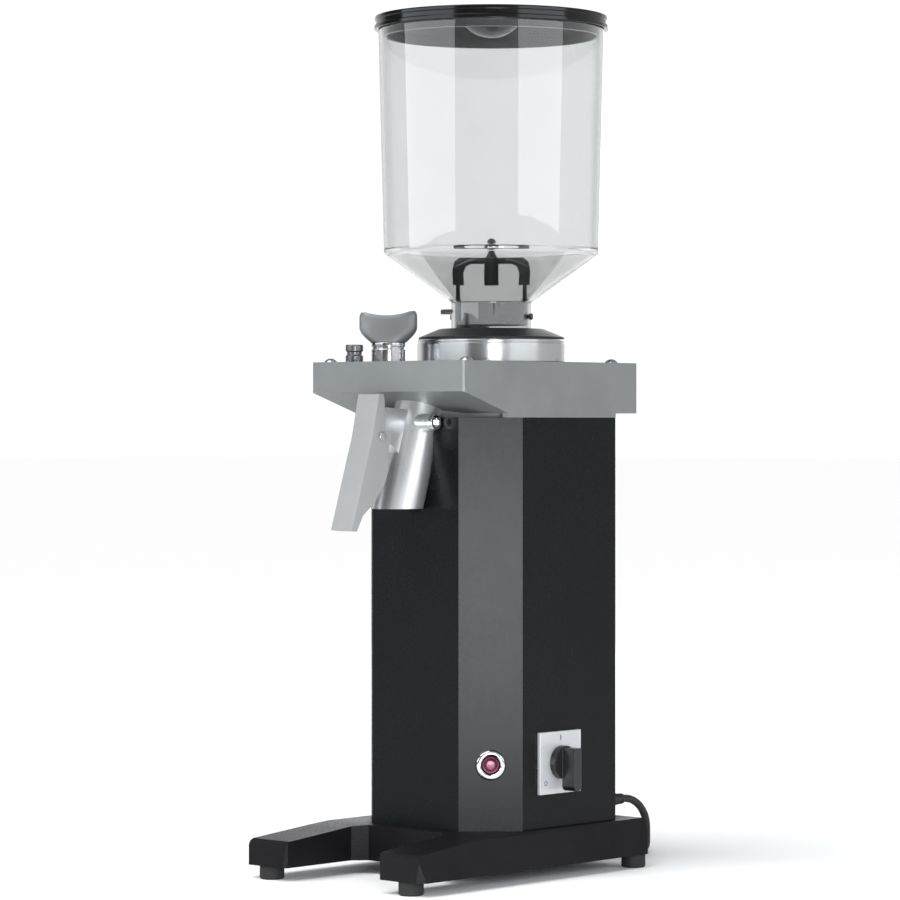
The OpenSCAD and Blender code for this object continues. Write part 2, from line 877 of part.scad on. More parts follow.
module spout() {
    ear = [
        [-98, 376],
        [-131, 378],
        [-148, 359],
        [-148, 352],
        [-142, 347],
        [-128, 350],
        [-118, 342],
        [-104, 338]
    ];
    color("#b4b6b7") at_axis() difference() {
        union() {
            at_spout() translate([0, 0, -100]) cylinder(r = spout_r, h = 107);
            across_x(ear_half_w) polygon(ear);
            translate([0, boss_spot[0], boss_spot[1]]) rod_x(7, 8, 26);
        }
        at_spout() translate([0, 0, -110]) cylinder(r = spout_r - spout_wall, h = 120);
        translate([-50, -200, mouth_z - 60]) cube([100, 200, 60]);
        translate([0, pivot[0], pivot[1]]) rod_x(pivot_r, -20, 20);
        translate([0, boss_spot[0], boss_spot[1]]) rod_x(4, 10, 30);
    }
}

module spout_screw() {
    color("#c9cbcc") at_axis() translate([0, boss_spot[0], boss_spot[1]]) difference() {
        union() {
            rod_x(4, 18.5, 26.5);
            rod_x(6, 26, 30.5);
        }
        translate([27.5, 0, 0]) rotate([0, 90, 0]) cylinder(r = 3.4, h = 10, $fn = 6);
    }
}

module bag_clamp() {
    outline = [
        [-145, 388.5],
        [-152.5, 355],
        [-176, 281],
        [-170, 280],
        [-163, 292.5],
        [-151, 301.5],
        [-138.5, 317],
        [-134.5, 328],
        [-134, 344],
        [-131.5, 357.5],
        [-138, 360],
        [-138.5, 384],
        [-140, 388.5]
    ];
    color("#bfc1c1") at_axis() difference() {
        across_x(clamp_half_w) polygon(outline);
        translate([0, 2.2, 0]) across_x(clamp_half_w - clamp_t) polygon(outline);
        translate([-clamp_half_w + clamp_t, -144, 340]) cube([2 * (clamp_half_w - clamp_t), 20, 60]);
        translate([0, pivot[0], pivot[1]]) rod_x(pivot_r + running, -20, 20);
    }
}

module clamp_pin() {
    color("#8d9091") at_axis() translate([0, pivot[0], pivot[1]]) {
        rod_x(pivot_r, -clamp_half_w - 0.5, clamp_half_w + 0.5);
        for (s = [-1, 1]) rod_x(3.6, s * (clamp_half_w + 1.1) - 0.8, s * (clamp_half_w + 1.1) + 0.8);
    }
}

module clamp_spring() {
    color("#9b9ea0") at_axis() translate([0, pivot[0], pivot[1]]) for (s = [-1, 1]) difference() {
        rod_x(4.2, s * 8 - 1.2, s * 8 + 1.2);
        rod_x(3, -12, 12);
    }
}

// ---- Start button ----

// Local +Z points out of the column's right front chamfer
module at_button() {
    translate([button_spot[0], button_spot[1], button_z]) rotate([90, 0, 45]) children();
}

module button_bezel() {
    outline = [
        [7.8, -22],
        [bezel_r, -22],
        [bezel_r, 0],
        [12.2, 0],
        [12.2, 1],
        [10.8, 3],
        [9, 3.4],
        [7.8, 2.4]
    ];
    color("#d6d8d9") at_axis() at_button() {
        rotate_extrude() polygon(outline);
        translate([0, 0, -7]) difference() {
            cylinder(r = 13, h = 5, $fn = 6);
            translate([0, 0, -1]) cylinder(r = bezel_r, h = 7);
        }
    }
}

module start_button() {
    color("#8c1430") at_axis() at_button() difference() {
        union() {
            translate([0, 0, -16]) cylinder(r = button_r, h = 17);
            translate([0, 0, 1]) cylinder(r1 = button_r, r2 = button_r - 1, h = 1);
        }
        translate([0, 0, -17]) cylinder(r = 5.6, h = 14);
        translate([0, 0, 21.4]) sphere(r = 20);
    }
}

module button_spring() {
    color("#9b9ea0") at_axis() at_button() translate([0, 0, -22]) ring(4.8, 3.8, 15.5);
}

module contact_block() {
    color("#3a3c3e") at_axis() at_button() translate([-11, -11, -46]) cube([22, 22, 24]);
}

// ---- Rotary switch ----

module switch_plate() {
    color("#c8cacc") at_axis() difference() {
        translate([column_half_w, switch_y - switch_plate_w / 2, switch_z - switch_plate_w / 2])
            cube([switch_plate_t, switch_plate_w, switch_plate_w]);
        translate([0, switch_y, switch_z])
            rod_x(spindle_hole_r, column_half_w - 1, column_half_w + 5);
    }
}

module switch_body() {
    color("#2b2c2e") at_axis() difference() {
        translate([switch_back_x, switch_y - switch_body_half, switch_z - switch_body_half])
            cube([column_half_w - sheet - switch_back_x, 2 * switch_body_half, 2 * switch_body_half]);
        translate([0, switch_y, switch_z]) rod_x(switch_spindle_r + running, 58, column_half_w);
    }
}

module switch_knob() {
    face = column_half_w + switch_plate_t + 0.4;
    color("#1a1b1c") at_axis() translate([0, switch_y, switch_z]) {
        rod_x(switch_spindle_r, 60, face + 1);
        rod_x(knob_disc_r, face, face + 5.5);
        translate([face + 5, -4.5, -18]) cube([knob_face_x - face - 5, 9, 30]);
        translate([face + 5, 0, -18]) rotate([0, 90, 0]) cylinder(r = 4.5, h = knob_face_x - face - 5);
    }
}

module run_capacitor() {
    color("#3d4a63") at_axis() translate([0, 15, base_top_z + sheet + capacitor_r + 0.2]) {
        rod_x(capacitor_r, -66, 0);
        rod_x(6, -72, -66);
    }
}

// ---- Cord ----

module cable_gland() {
    color("#222325") at_axis() translate([gland[0], 0, gland[1]]) rotate([-90, 0, 0]) {
        translate([0, 0, column_rear]) cylinder(r = 10.5, h = 5, $fn = 6);
        translate([0, 0, column_rear + 5]) cylinder(r = 8.5, h = 6);
        translate([0, 0, column_rear - 10]) cylinder(r = gland_r, h = 10);
        translate([0, 0, column_rear - sheet - 5]) cylinder(r = 7.9, h = 5, $fn = 6);
    }
}

module strain_relief() {
    start = column_rear + 11;
    color("#1d1e1f") at_axis() translate([gland[0], start, gland[1]]) rotate([-90, 0, 0])
        cylinder(r1 = gland_r, r2 = 4.4, h = relief_end - start);
}

function unit(v) = v / norm(v);

// Cubic B-spline stretch that b and c pull on, at t from 0 to 1
function spline(a, b, c, d, t) = (pow(1 - t, 3) * a + (3 * pow(t, 3) - 6 * t * t + 4) * b
    + (3 * t * t + 3 * t + 1 - 3 * pow(t, 3)) * c + pow(t, 3) * d) / 6;

// The route's points with a phantom point before the first and after the last
function extended(pts) = let (last = len(pts) - 1)
    concat([2 * pts[0] - pts[1]], pts, [2 * pts[last] - pts[last - 1]]);

// Smooth line through a route, with steps points on each stretch
function smooth(pts, steps) = let (e = extended(pts)) concat(
    [for (i = [0 : len(pts) - 2]) for (s = [0 : steps - 1])
        spline(e[i], e[i + 1], e[i + 2], e[i + 3], s / steps)],
    [pts[len(pts) - 1]]
);

function tangents(line) = [for (i = [0 : len(line) - 1])
    unit(line[min(i + 1, len(line) - 1)] - line[max(i - 1, 0)])];

// Direction across each point of a line, carried along it without twisting
function normals(t, i, n) = i >= len(t) ? [] :
    let (m = unit(n - (n * t[i]) * t[i])) concat([m], normals(t, i + 1, m));

// Round tube along a route
module tube(route, r) {
    line = smooth(route, cord_steps);
    t = tangents(line);
    n = normals(t, 0, [0, 0, 1]);
    count = len(line);
    k = cord_sides;
    points = [for (i = [0 : count - 1]) for (j = [0 : k - 1])
        line[i] + r * (cos(j * 360 / k) * n[i] + sin(j * 360 / k) * cross(t[i], n[i]))];
    walls = [for (i = [0 : count - 2]) for (j = [0 : k - 1])
        [i * k + j, i * k + (j + 1) % k, (i + 1) * k + (j + 1) % k, (i + 1) * k + j]];
    start_cap = [for (j = [k - 1 : -1 : 0]) j];
    end_cap = [for (j = [0 : k - 1]) (count - 1) * k + j];
    polyhedron(points, concat(walls, [start_cap, end_cap]));
}

module cord() {
    color("#161718") tube(lead_route, cord_d / 2);
}

module cord_coil() {
    color("#161718") translate([coil_spot[0], coil_spot[1], 0])
        ring(coil_r_out, coil_r_in, coil_h);
}

module cord_tail() {
    color("#161718") tube(tail_route, cord_d / 2);
}

module plug() {
    color("#161718") translate(plug_spot) {
        rotate([0, -90, 0]) cylinder(r1 = 5.5, r2 = 9, h = 14);
        translate([-14, 0, 0]) rotate([0, -90, 0]) cylinder(r1 = 15, r2 = plug_r, h = 10);
        translate([-24, 0, 0]) rotate([0, -90, 0]) cylinder(r = plug_r, h = 20);
        for (s = [-1, 1]) translate([-43, s * 9.5, 0]) rotate([0, -90, 0]) cylinder(r = 2.4, h = 19);
    }
}

base();
bottom_cover();
rubber_feet();
foot_screws();
column_shell();
column_screws();
rear_cover();
rear_cover_screws();
head_casting();
head_screws();
motor_flange();
motor_housing();
stator_core();
stator_windings();
upper_end_bell();
lower_end_bell();
shaft_bearings();
rotor_shaft();
rotor_core();
cooling_fan();
lower_burr_carrier();
lower_burr();
lower_burr_screws();
carrier_nut();
upper_burr_carrier();
upper_burr();
upper_burr_screws();
adjusting_collar();
collar_cap();
hopper();
hopper_lid();
lid_grip();
gate_housing();
gate_slide();
finger_guard();
guard_knob();
neck_screws();
lock_knob();
lock_stem();
index_pin();
spout();
spout_screw();
bag_clamp();
clamp_pin();
clamp_spring();
button_bezel();
start_button();
button_spring();
contact_block();
switch_plate();
switch_body();
switch_knob();
run_capacitor();
cable_gland();
strain_relief();
cord();
cord_coil();
cord_tail();
plug();
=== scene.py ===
"""Shop burr coffee grinder: clear hopper, cast head, folded steel column, cast two-legged base.

Sizes are in millimetres, measured from the hopper's axis, with +Z up, -Y the front and +X the
switch side. One function moves finished points into the frame's metres.
"""

import json
import logging
import math
from dataclasses import dataclass
from enum import Enum
from typing import Any, Callable, Optional, Sequence

import bmesh
import bpy
import numpy as np
from mathutils import Euler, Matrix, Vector


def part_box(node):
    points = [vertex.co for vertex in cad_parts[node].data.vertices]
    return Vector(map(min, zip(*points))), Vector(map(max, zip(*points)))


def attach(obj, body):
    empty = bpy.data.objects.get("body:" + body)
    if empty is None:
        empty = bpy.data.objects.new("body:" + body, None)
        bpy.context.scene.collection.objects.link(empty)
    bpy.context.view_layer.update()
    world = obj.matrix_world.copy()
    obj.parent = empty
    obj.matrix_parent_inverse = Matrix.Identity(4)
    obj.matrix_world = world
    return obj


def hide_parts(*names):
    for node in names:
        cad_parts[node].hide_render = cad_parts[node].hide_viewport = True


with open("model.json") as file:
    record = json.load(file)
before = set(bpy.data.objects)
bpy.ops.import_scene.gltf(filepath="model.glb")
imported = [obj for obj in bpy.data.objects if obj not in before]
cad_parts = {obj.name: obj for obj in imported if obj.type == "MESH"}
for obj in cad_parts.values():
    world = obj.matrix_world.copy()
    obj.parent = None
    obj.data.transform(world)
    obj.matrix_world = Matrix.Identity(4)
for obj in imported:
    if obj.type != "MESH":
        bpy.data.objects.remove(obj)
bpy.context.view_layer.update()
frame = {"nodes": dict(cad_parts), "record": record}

LOG = logging.getLogger("grinder")
MM = 0.001
AXIS = np.array([0.0, (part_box("rotor_shaft")[0].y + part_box("rotor_shaft")[1].y) / 2 / MM, 0.0])
# Steps round a lathed piece that says no other number
ROUND = 128
# Radius that stands for the middle of a closed end, so that a lathed outline doesn't fold over its axis
TIP = 0.01
# Points nearer than this, in metres, are one point
WELD = 2e-6
# Faces that differ by less than this angle, in degrees, are one flat face
FLAT = 0.6

Points = np.ndarray
Corner = Sequence[float]


# ---- Meshes ----


class Turn(Enum):
    """Ways that a lathed piece's own +Z can point."""

    UP = 0
    RIGHT = 1
    BACK = 2
    LEFT = 3


def turned(points: Points, turn: Turn) -> Points:
    """Points with their own +Z turned to point up, right (+X), back (+Y) or left (-X).

    Args:
        points: Array whose last axis is x, y and z.
        turn: Where +Z goes.

    Returns:
        Array of the same shape.
    """
    x, y, z = points[..., 0], points[..., 1], points[..., 2]
    ways = {
        Turn.UP: (x, y, z),
        Turn.RIGHT: (z, x, y),
        Turn.BACK: (-x, z, y),
        Turn.LEFT: (-z, -x, y),
    }
    return np.stack(ways[turn], axis=-1)


def powered(wave: np.ndarray, power: float) -> np.ndarray:
    """A wave's size to a power, with the wave's own sign: below 1, it squares an oval off."""
    return np.sign(wave) * np.abs(wave) ** power


def place(points: Points, spot: Sequence[float] = (0, 0, 0), turn: Turn = Turn.UP) -> Points:
    """Turns points about their own origin, moves them to a spot, and gives the frame's metres."""
    return (turned(points, turn) + np.asarray(spot, float) + AXIS) * MM


def rounded(corners: Sequence[Corner], radius: float, steps: int = 4) -> Points:
    """Closed outline with each corner cut by an arc.

    At a corner, the arc starts and ends where the two sides are a tangent's length away, and its
    points blend the sides' ends by a quadratic curve pulled to the corner.

    Args:
        corners: (a, b) points in order, with an optional third value, that corner's own radius.
        radius: The radius of corners that give none.
        steps: Stretches in each arc.

    Returns:
        Points of the outline, one row each.
    """
    flat = np.array([c[:2] for c in corners], float)
    radii = [c[2] if len(c) > 2 else radius for c in corners]
    rows = []
    for i, corner in enumerate(flat):
        before, after = flat[i - 1] - corner, flat[(i + 1) % len(flat)] - corner
        sides = [np.linalg.norm(before), np.linalg.norm(after)]
        if radii[i] <= 0 or min(sides) == 0:
            rows.append(corner[None])
            continue
        before, after = before / sides[0], after / sides[1]
        half = math.acos(float(np.clip(before @ after, -1, 1))) / 2
        # Two arcs never meet on the side between them
        reach = min(radii[i] / max(math.tan(half), 1e-3), 0.48 * min(sides))
        t = np.linspace(0, 1, steps + 1)[:, None]
        start, end = corner + reach * before, corner + reach * after
        rows.append((1 - t) ** 2 * start + 2 * t * (1 - t) * corner + t**2 * end)
    return np.concatenate(rows)


def surface(name: str, points: Points, closed: tuple[bool, bool], caps: bool = False) -> bpy.types.Object:
    """Mesh of a grid of points, already in metres, welded and with its faces pointing out.

    Args:
        name: The piece's name.
        points: Array of rows by columns by 3.
        closed: Whether the last row meets the first, and the last column the first.
        caps: Whether the first and the last row are filled in.

    Returns:
        The new object, smooth shaded.
    """
    rows, columns = points.shape[:2]
    index = np.arange(rows * columns).reshape(rows, columns)
    if closed[0]:
        index = np.concatenate([index, index[:1]])
    if closed[1]:
        index = np.concatenate([index, index[:, :1]], axis=1)
    quads = np.stack([index[:-1, :-1], index[:-1, 1:], index[1:, 1:], index[1:, :-1]], axis=-1)
    faces = quads.reshape(-1, 4).tolist()
    if caps:
        faces += [index[0, :columns].tolist(), index[-1, :columns].tolist()]
    mesh = bpy.data.meshes.new(name)
    mesh.from_pydata(points.reshape(-1, 3).tolist(), [], faces)
    return finished(name, mesh)


def finished(name: str, mesh: bpy.types.Mesh) -> bpy.types.Object:
    """Welds a mesh, turns its faces outwards, shades it smooth and links it as an object.

    Args:
        name: The piece's name.
        mesh: Its mesh, in metres.

    Returns:
        The new object, whose normals are weighted by face size.
    """
    shape = bmesh.new()
    shape.from_mesh(mesh)
    bmesh.ops.remove_doubles(shape, verts=shape.verts, dist=WELD)
    bmesh.ops.dissolve_degenerate(shape, dist=1e-7, edges=shape.edges)
    bmesh.ops.recalc_face_normals(shape, faces=shape.faces)
    shape.to_mesh(mesh)
    shape.free()
    mesh.polygons.foreach_set("use_smooth", np.ones(len(mesh.polygons), bool))
    piece = bpy.data.objects.new(name, mesh)
    bpy.context.scene.collection.objects.link(piece)
    even = piece.modifiers.new("even normals", "WEIGHTED_NORMAL")
    even.keep_sharp = True
    even.weight = 60
    return piece


def lathe(
    name: str,
    outline: Points,
    spot: Sequence[float] = (0, 0, 0),
    turn: Turn = Turn.UP,
    steps: int = ROUND,
) -> bpy.types.Object:
    """Closed outline of (radius, height) points carried round its own Z axis, and placed.

    Args:
        name: The piece's name.
        outline: Rows of radius and height.
        spot: Where its own origin goes, from the hopper's axis.
        turn: Where its own +Z points.
        steps: Points round the axis.

    Returns:
        The new object.
    """
    return surface(name, place(spun(outline, steps), spot, turn), (True, True))


def spun(outline: Points, steps: int) -> Points:
    """Grid of points of an outline carried round Z, before it is placed.

    A point is (radius cos a, radius sin a, height), with a from 0 to a full turn.

    Args:
        outline: Rows of radius and height.
        steps: Points round the axis.

    Returns:
        Array of outline points by steps by 3.
    """
    angle = np.linspace(0, 2 * math.pi, steps, endpoint=False)
    r, z = outline[:, 0, None], outline[:, 1, None]
    return np.stack([r * np.cos(angle), r * np.sin(angle), z + 0 * angle], axis=-1)


def carried(path: Points, radius: float, sides: int) -> Points:
    """Round section carried along a path.

    Each ring is the path's point plus radius times (cos a, sin a) in the plane across the path. That
    plane's first axis is the last ring's, less its part along the path, so the tube doesn't twist.

    Args:
        path: Points in order.
        radius: The section's radius.
        sides: Points in each ring.

    Returns:
        Array of path points by sides by 3.
    """
    ahead = np.gradient(path, axis=0)
    ahead /= np.linalg.norm(ahead, axis=1, keepdims=True)
    across = np.empty_like(path)
    last = np.array([0.0, 0.0, 1.0]) if abs(ahead[0, 2]) < 0.9 else np.array([1.0, 0.0, 0.0])
    for i, way in enumerate(ahead):
        last = last - (last @ way) * way
        last = last / np.linalg.norm(last)
        across[i] = last
    third = np.cross(ahead, across)
    angle = np.linspace(0, 2 * math.pi, sides, endpoint=False)[None, :, None]
    return path[:, None] + radius * (np.cos(angle) * across[:, None] + np.sin(angle) * third[:, None])


def refined(node: str, width: float, steps: int = 3, angle: float = 32) -> bpy.types.Object:
    """Copy of a CAD node, welded, with its flat faces joined and its edges rounded.

    Args:
        node: The CAD node that it is a copy of.
        width: The rounding's width, in millimetres.
        steps: Stretches across each rounding.
        angle: Edges sharper than this, in degrees, are rounded.

    Returns:
        The new object, named after the node with _skin behind it.
    """
    mesh = frame["nodes"][node].data.copy()
    mesh.materials.clear()
    shape = bmesh.new()
    shape.from_mesh(mesh)
    bmesh.ops.remove_doubles(shape, verts=shape.verts, dist=WELD)
    bmesh.ops.dissolve_limit(shape, angle_limit=math.radians(FLAT), verts=shape.verts, edges=shape.edges)
    shape.to_mesh(mesh)
    shape.free()
    piece = finished(node + "_skin", mesh)
    bevel = piece.modifiers.new("rounded edges", "BEVEL")
    bevel.width, bevel.segments = width * MM, steps
    bevel.limit_method, bevel.angle_limit = "ANGLE", math.radians(angle)
    bevel.harden_normals = True
    bevel.use_clamp_overlap = True
    piece.modifiers.move(1, 0)
    return piece


def box_mesh(name: str, low: Sequence[float], high: Sequence[float]) -> bpy.types.Object:
    """Plain box between two corners, only used to cut another piece.

    Args:
        name: The cutter's name.
        low: Its lowest corner, from the hopper's axis.
        high: Its highest corner.

    Returns:
        The cutter.
    """
    x, y, z = np.meshgrid(*[[low[i], high[i]] for i in range(3)], indexing="ij")
    corners = place(np.stack([x, y, z], axis=-1).reshape(-1, 3))
    faces = [(0, 1, 3, 2), (4, 6, 7, 5), (0, 4, 5, 1), (2, 3, 7, 6), (0, 2, 6, 4), (1, 5, 7, 3)]
    mesh = bpy.data.meshes.new(name)
    mesh.from_pydata(corners.tolist(), [], faces)
    return finished(name, mesh)


def cut(piece: bpy.types.Object, cutter: bpy.types.Object) -> bpy.types.Object:
    """Takes a cutter's volume out of a piece for good, and deletes the cutter.

    Args:
        piece: The piece to cut.
        cutter: The object whose volume goes.

    Returns:
        The same piece, with its new mesh.
    """
    knife = piece.modifiers.new("cut", "BOOLEAN")
    knife.object, knife.operation, knife.solver = cutter, "DIFFERENCE", "EXACT"
    piece.modifiers.move(len(piece.modifiers) - 1, 0)
    even = piece.modifiers["even normals"]
    even.show_viewport = even.show_render = False
    bpy.context.view_layer.update()
    shown = piece.evaluated_get(bpy.context.evaluated_depsgraph_get())
    mesh = bpy.data.meshes.new_from_object(shown)
    piece.modifiers.remove(knife)
    piece.data = mesh
    even.show_viewport = even.show_render = True
    bpy.data.objects.remove(cutter)
    return piece


def keep(
    piece: bpy.types.Object, nodes: Sequence[str], finish: "Finish", body: Optional[str] = None
) -> bpy.types.Object:
    """Sets a piece up: it rides on a body, replaces CAD nodes and wears a finish.

    Args:
        piece: The new object.
        nodes: The CAD nodes that it stands for. The first one gives the body.
        finish: Its material.
        body: The body that it rides on, if it stands for no node.

    Returns:
        The same piece.
    """
    names = frame["record"]["behaviour"]["bodies"]
    rides = body or next(b for b, members in names.items() if nodes[0] in members)
    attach(piece, rides)
    if nodes:
        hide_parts(*nodes)
    piece.data.materials.clear()
    piece.data.materials.append(finish.material())
    LOG.info("%s on %s, %d faces, %s", piece.name, rides, len(piece.data.polygons), finish.name)
    return piece


def patch(piece: bpy.types.Object, finish: "Finish", inside: Callable[[Points], np.ndarray]) -> None:
    """Gives a second finish to some of a piece's faces.

    Args:
        piece: The piece.
        finish: The second finish.
        inside: Tells from the faces' middles, from the hopper's axis, which of them wear it.
    """
    mesh = piece.data
    middles = np.empty(3 * len(mesh.polygons))
    mesh.polygons.foreach_get("center", middles)
    chosen = inside(middles.reshape(-1, 3) / MM - AXIS)
    mesh.materials.append(finish.material())
    mesh.polygons.foreach_set("material_index", chosen.astype(np.int32))


def slot_of(node: str) -> str:
    """The record's material slot of a CAD node."""
    return next(s["material_slot"] for s in frame["record"]["subparts"] if s["node"] == node)


# ---- Finishes ----


def linear(colour: str) -> tuple[float, float, float, float]:
    """Turns an sRGB hex colour to linear.

    Args:
        colour: The colour, as "#rrggbb".

    Returns:
        Linear red, green, blue and alpha.
    """
    parts = np.array([int(colour[i : i + 2], 16) for i in (1, 3, 5)]) / 255
    straight = np.where(parts <= 0.04045, parts / 12.92, ((parts + 0.055) / 1.055) ** 2.4)
    return (*straight.tolist(), 1.0)


def add(
    tree: bpy.types.NodeTree, kind: str, inputs: Optional[dict] = None, **settings: Any
) -> bpy.types.Node:
    """Adds one node to a tree.

    Args:
        tree: The node tree.
        kind: The node's type name, without ShaderNode.
        inputs: A socket's name or number, with a value or with another node's output.
        settings: The node's own properties.

    Returns:
        The node.
    """
    node = tree.nodes.new("ShaderNode" + kind)
    for key, value in settings.items():
        setattr(node, key, value)
    for key, value in (inputs or {}).items():
        if isinstance(value, bpy.types.NodeSocket):
            tree.links.new(value, node.inputs[key])
        else:
            node.inputs[key].default_value = value
    return node


class Grain(Enum):
    """How a finish's surface is marked: the stretch of its pattern along X, Y and Z."""

    EVEN = (1.0, 1.0, 1.0)
    ROUND_Z = (1.0, 1.0, 30.0)
    ALONG_Y = (1.0, 0.03, 1.0)
    ALONG_Z = (1.0, 1.0, 0.03)


@dataclass(frozen=True)
class Finish:
    """A real material and how its surface was made.

    Colours are sRGB hex, and the surface drifts slowly between the first and the second. The pattern's
    size is the width of one of its marks and its depth is how far they go in, both in millimetres. A
    clear finish has painted shade: it turns to its edge colour where its wall is seen along its length,
    and greys below a height in millimetres.
    """

    name: str
    colour: str
    slot: str
    second: str
    metallic: float = 0.0
    rough: float = 0.5
    rough_change: float = 0.06
    specular: float = 0.5
    ior: float = 1.5
    clear: float = 0.0
    stretch: float = 0.0
    grain: Grain = Grain.EVEN
    size: float = 1.0
    depth: float = 0.0
    detail: float = 3.0
    cells: bool = False
    edge: str = ""
    shade_below: float = 0.0

    def material(self) -> bpy.types.Material:
        """Makes the finish's material, or finds it if it is made.

        Returns:
            The material: drifting colour and roughness, and a bump of the surface's marks.
        """
        ready = bpy.data.materials.get(self.name)
        if ready:
            return ready
        made = bpy.data.materials.new(self.name)
        made.use_nodes = True
        tree = made.node_tree
        tree.nodes.clear()
        spots = add(tree, "TexCoord").outputs["Object"]
        shader = add(tree, "BsdfPrincipled", {
            "Metallic": self.metallic, "Specular IOR Level": self.specular, "IOR": self.ior,
            "Transmission Weight": self.clear, "Anisotropic": self.stretch,
        })
        drift = add(tree, "TexNoise", {
            "Vector": spots, "Scale": 1 / (DRIFT_SIZE * MM), "Detail": 3.0, "Roughness": 0.6,
        }).outputs["Fac"]
        marks = self.marks(tree, spots)
        tree.links.new(self.shade(tree, spots, drift), shader.inputs["Base Color"])
        both = add(tree, "Math", {0: marks, 1: drift}, operation="MULTIPLY")
        gloss = add(tree, "MapRange", {
            "Value": both.outputs[0], "From Min": 0.1, "From Max": 0.4,
            "To Min": self.rough - self.rough_change, "To Max": self.rough + self.rough_change,
        })
        tree.links.new(gloss.outputs["Result"], shader.inputs["Roughness"])
        if self.depth:
            bump = add(tree, "Bump", {"Height": marks, "Strength": 1.0, "Distance": self.depth * MM})
            tree.links.new(bump.outputs[0], shader.inputs["Normal"])
        end = add(tree, "OutputMaterial")
        tree.links.new(shader.outputs[0], end.inputs["Surface"])
        return made

    def marks(self, tree: bpy.types.NodeTree, spots: bpy.types.NodeSocket) -> bpy.types.NodeSocket:
        """Adds the pattern of the surface's own marks.

        Args:
            tree: The material's nodes.
            spots: The object's own coordinates.

        Returns:
            The pattern's height, from 0 to 1.
        """
        way = add(tree, "Mapping", {"Vector": spots, "Scale": self.grain.value}).outputs[0]
        scale = 1 / (2 * self.size * MM)
        if self.cells:
            return add(tree, "TexVoronoi", {"Vector": way, "Scale": scale, "Smoothness": 0.7},
                       feature="SMOOTH_F1").outputs["Distance"]
        return add(tree, "TexNoise", {
            "Vector": way, "Scale": scale, "Detail": self.detail, "Roughness": 0.55,
        }).outputs["Fac"]

    def shade(
        self, tree: bpy.types.NodeTree, spots: bpy.types.NodeSocket, drift: bpy.types.NodeSocket
    ) -> bpy.types.NodeSocket:
        """Adds the surface's colour.

        Args:
            tree: The material's nodes.
            spots: The object's own coordinates.
            drift: The slow change over the surface, from 0 to 1.

        Returns:
            The colour, with a clear finish's painted shade: its edge colour, and grey below a height.
        """
        blend = add(tree, "MapRange", {"Value": drift, "From Min": 0.35, "From Max": 0.65,
                                       "To Min": 0.0, "To Max": 1.0}).outputs["Result"]
        shade = self.mixed(tree, blend, linear(self.colour), self.second)
        # Painted shade: a clear wall darkens to its edge colour where it is seen edge-on
        if self.edge:
            facing = add(tree, "LayerWeight", {"Blend": 0.5}).outputs["Facing"]
            rim = add(tree, "MapRange", {"Value": facing, "From Min": EDGE_SHADE_STARTS, "From Max": 1.0,
                                         "To Min": 0.0, "To Max": 1.0}).outputs["Result"]
            shade = self.mixed(tree, rim, shade, self.edge)
        # Painted shade: the clear wall greys below a height, in the hopper's cone
        if self.shade_below:
            height = add(tree, "SeparateXYZ", {0: spots}).outputs[2]
            low = add(tree, "MapRange", {"Value": height, "From Min": self.shade_below * MM,
                                         "From Max": (self.shade_below - CONE_SHADE_FADE) * MM,
                                         "To Min": 0.0, "To Max": CONE_SHADE_SHARE}).outputs["Result"]
            shade = self.mixed(tree, low, shade, CONE_SHADE_COLOUR)
        return shade

    def mixed(self, tree: bpy.types.NodeTree, share: bpy.types.NodeSocket, below: Any,
              colour: str) -> bpy.types.NodeSocket:
        """Adds a mix of a colour or socket and a hex colour: 6 and 7 are such a node's colour sockets."""
        return add(tree, "Mix", {0: share, 6: below, 7: linear(colour)}, data_type="RGBA").outputs[2]


# Size of the slow changes of colour and gloss over a surface, in millimetres
DRIFT_SIZE = 60.0
# How nearly a clear wall is seen along its length where its edge colour, a painted shade, starts, from 0 to
# 1
EDGE_SHADE_STARTS = 0.6
# The painted shade in the hopper's cone: how far it fades in, in millimetres, how dense it is, and its grey
CONE_SHADE_FADE = 6.0
CONE_SHADE_SHARE = 0.3
CONE_SHADE_COLOUR = "#8c8b89"

# Sand-cast iron under a satin powder coat: near black, broad soft highlights, and small soft pits
CAST_PAINT = Finish("powder coated cast iron", "#111013", "cast_base", "#151417", rough=0.42, size=0.9,
                    depth=0.09, cells=True, specular=0.12)
# Folded mild steel with a sprayed stoving enamel: a smooth deep black with a faint orange peel
SHEET_PAINT = Finish("stoved enamel on sheet steel", "#0c0d0f", "column_paint", "#0f1012", rough=0.27,
                     rough_change=0.02, size=1.1, depth=0.008, specular=0.12)
# The same steel under a textured enamel: a dull black whose fine bumps break up the light
COVER_PAINT = Finish("textured enamel on sheet steel", "#151619", "cover_black", "#1a1b1e", rough=0.55,
                     size=0.6, depth=0.05, cells=True)
# Sand-cast aluminium, linished and sprayed with silver lacquer: an even mid grey, soft and half metallic
HEAD_LACQUER = Finish("silver lacquered cast aluminium", "#6b6e6e", "cast_aluminium", "#747777",
                      metallic=0.35, rough=0.48, size=0.5, depth=0.03, detail=4)
# Moulded nitrile rubber: a matt black without a clear highlight
FOOT_RUBBER = Finish("moulded black rubber", "#131313", "foot_rubber", "#1a1a1a", rough=0.75, size=0.4,
                     depth=0.02)
# Bright zinc plate over steel: pale, a little blue, with tiny dull spots
ZINC = Finish("zinc plated steel", "#b3b5b8", "zinc_screws", "#a3a6aa", metallic=1.0, rough=0.3, size=0.5,
              depth=0.004)
# Chemically blackened steel: a dark oily metal
DARK_SCREW = Finish("blackened steel", "#3c3d3f", "zinc_screws", "#4a4b4d", metallic=1.0, rough=0.38,
                    size=0.5, depth=0.004)
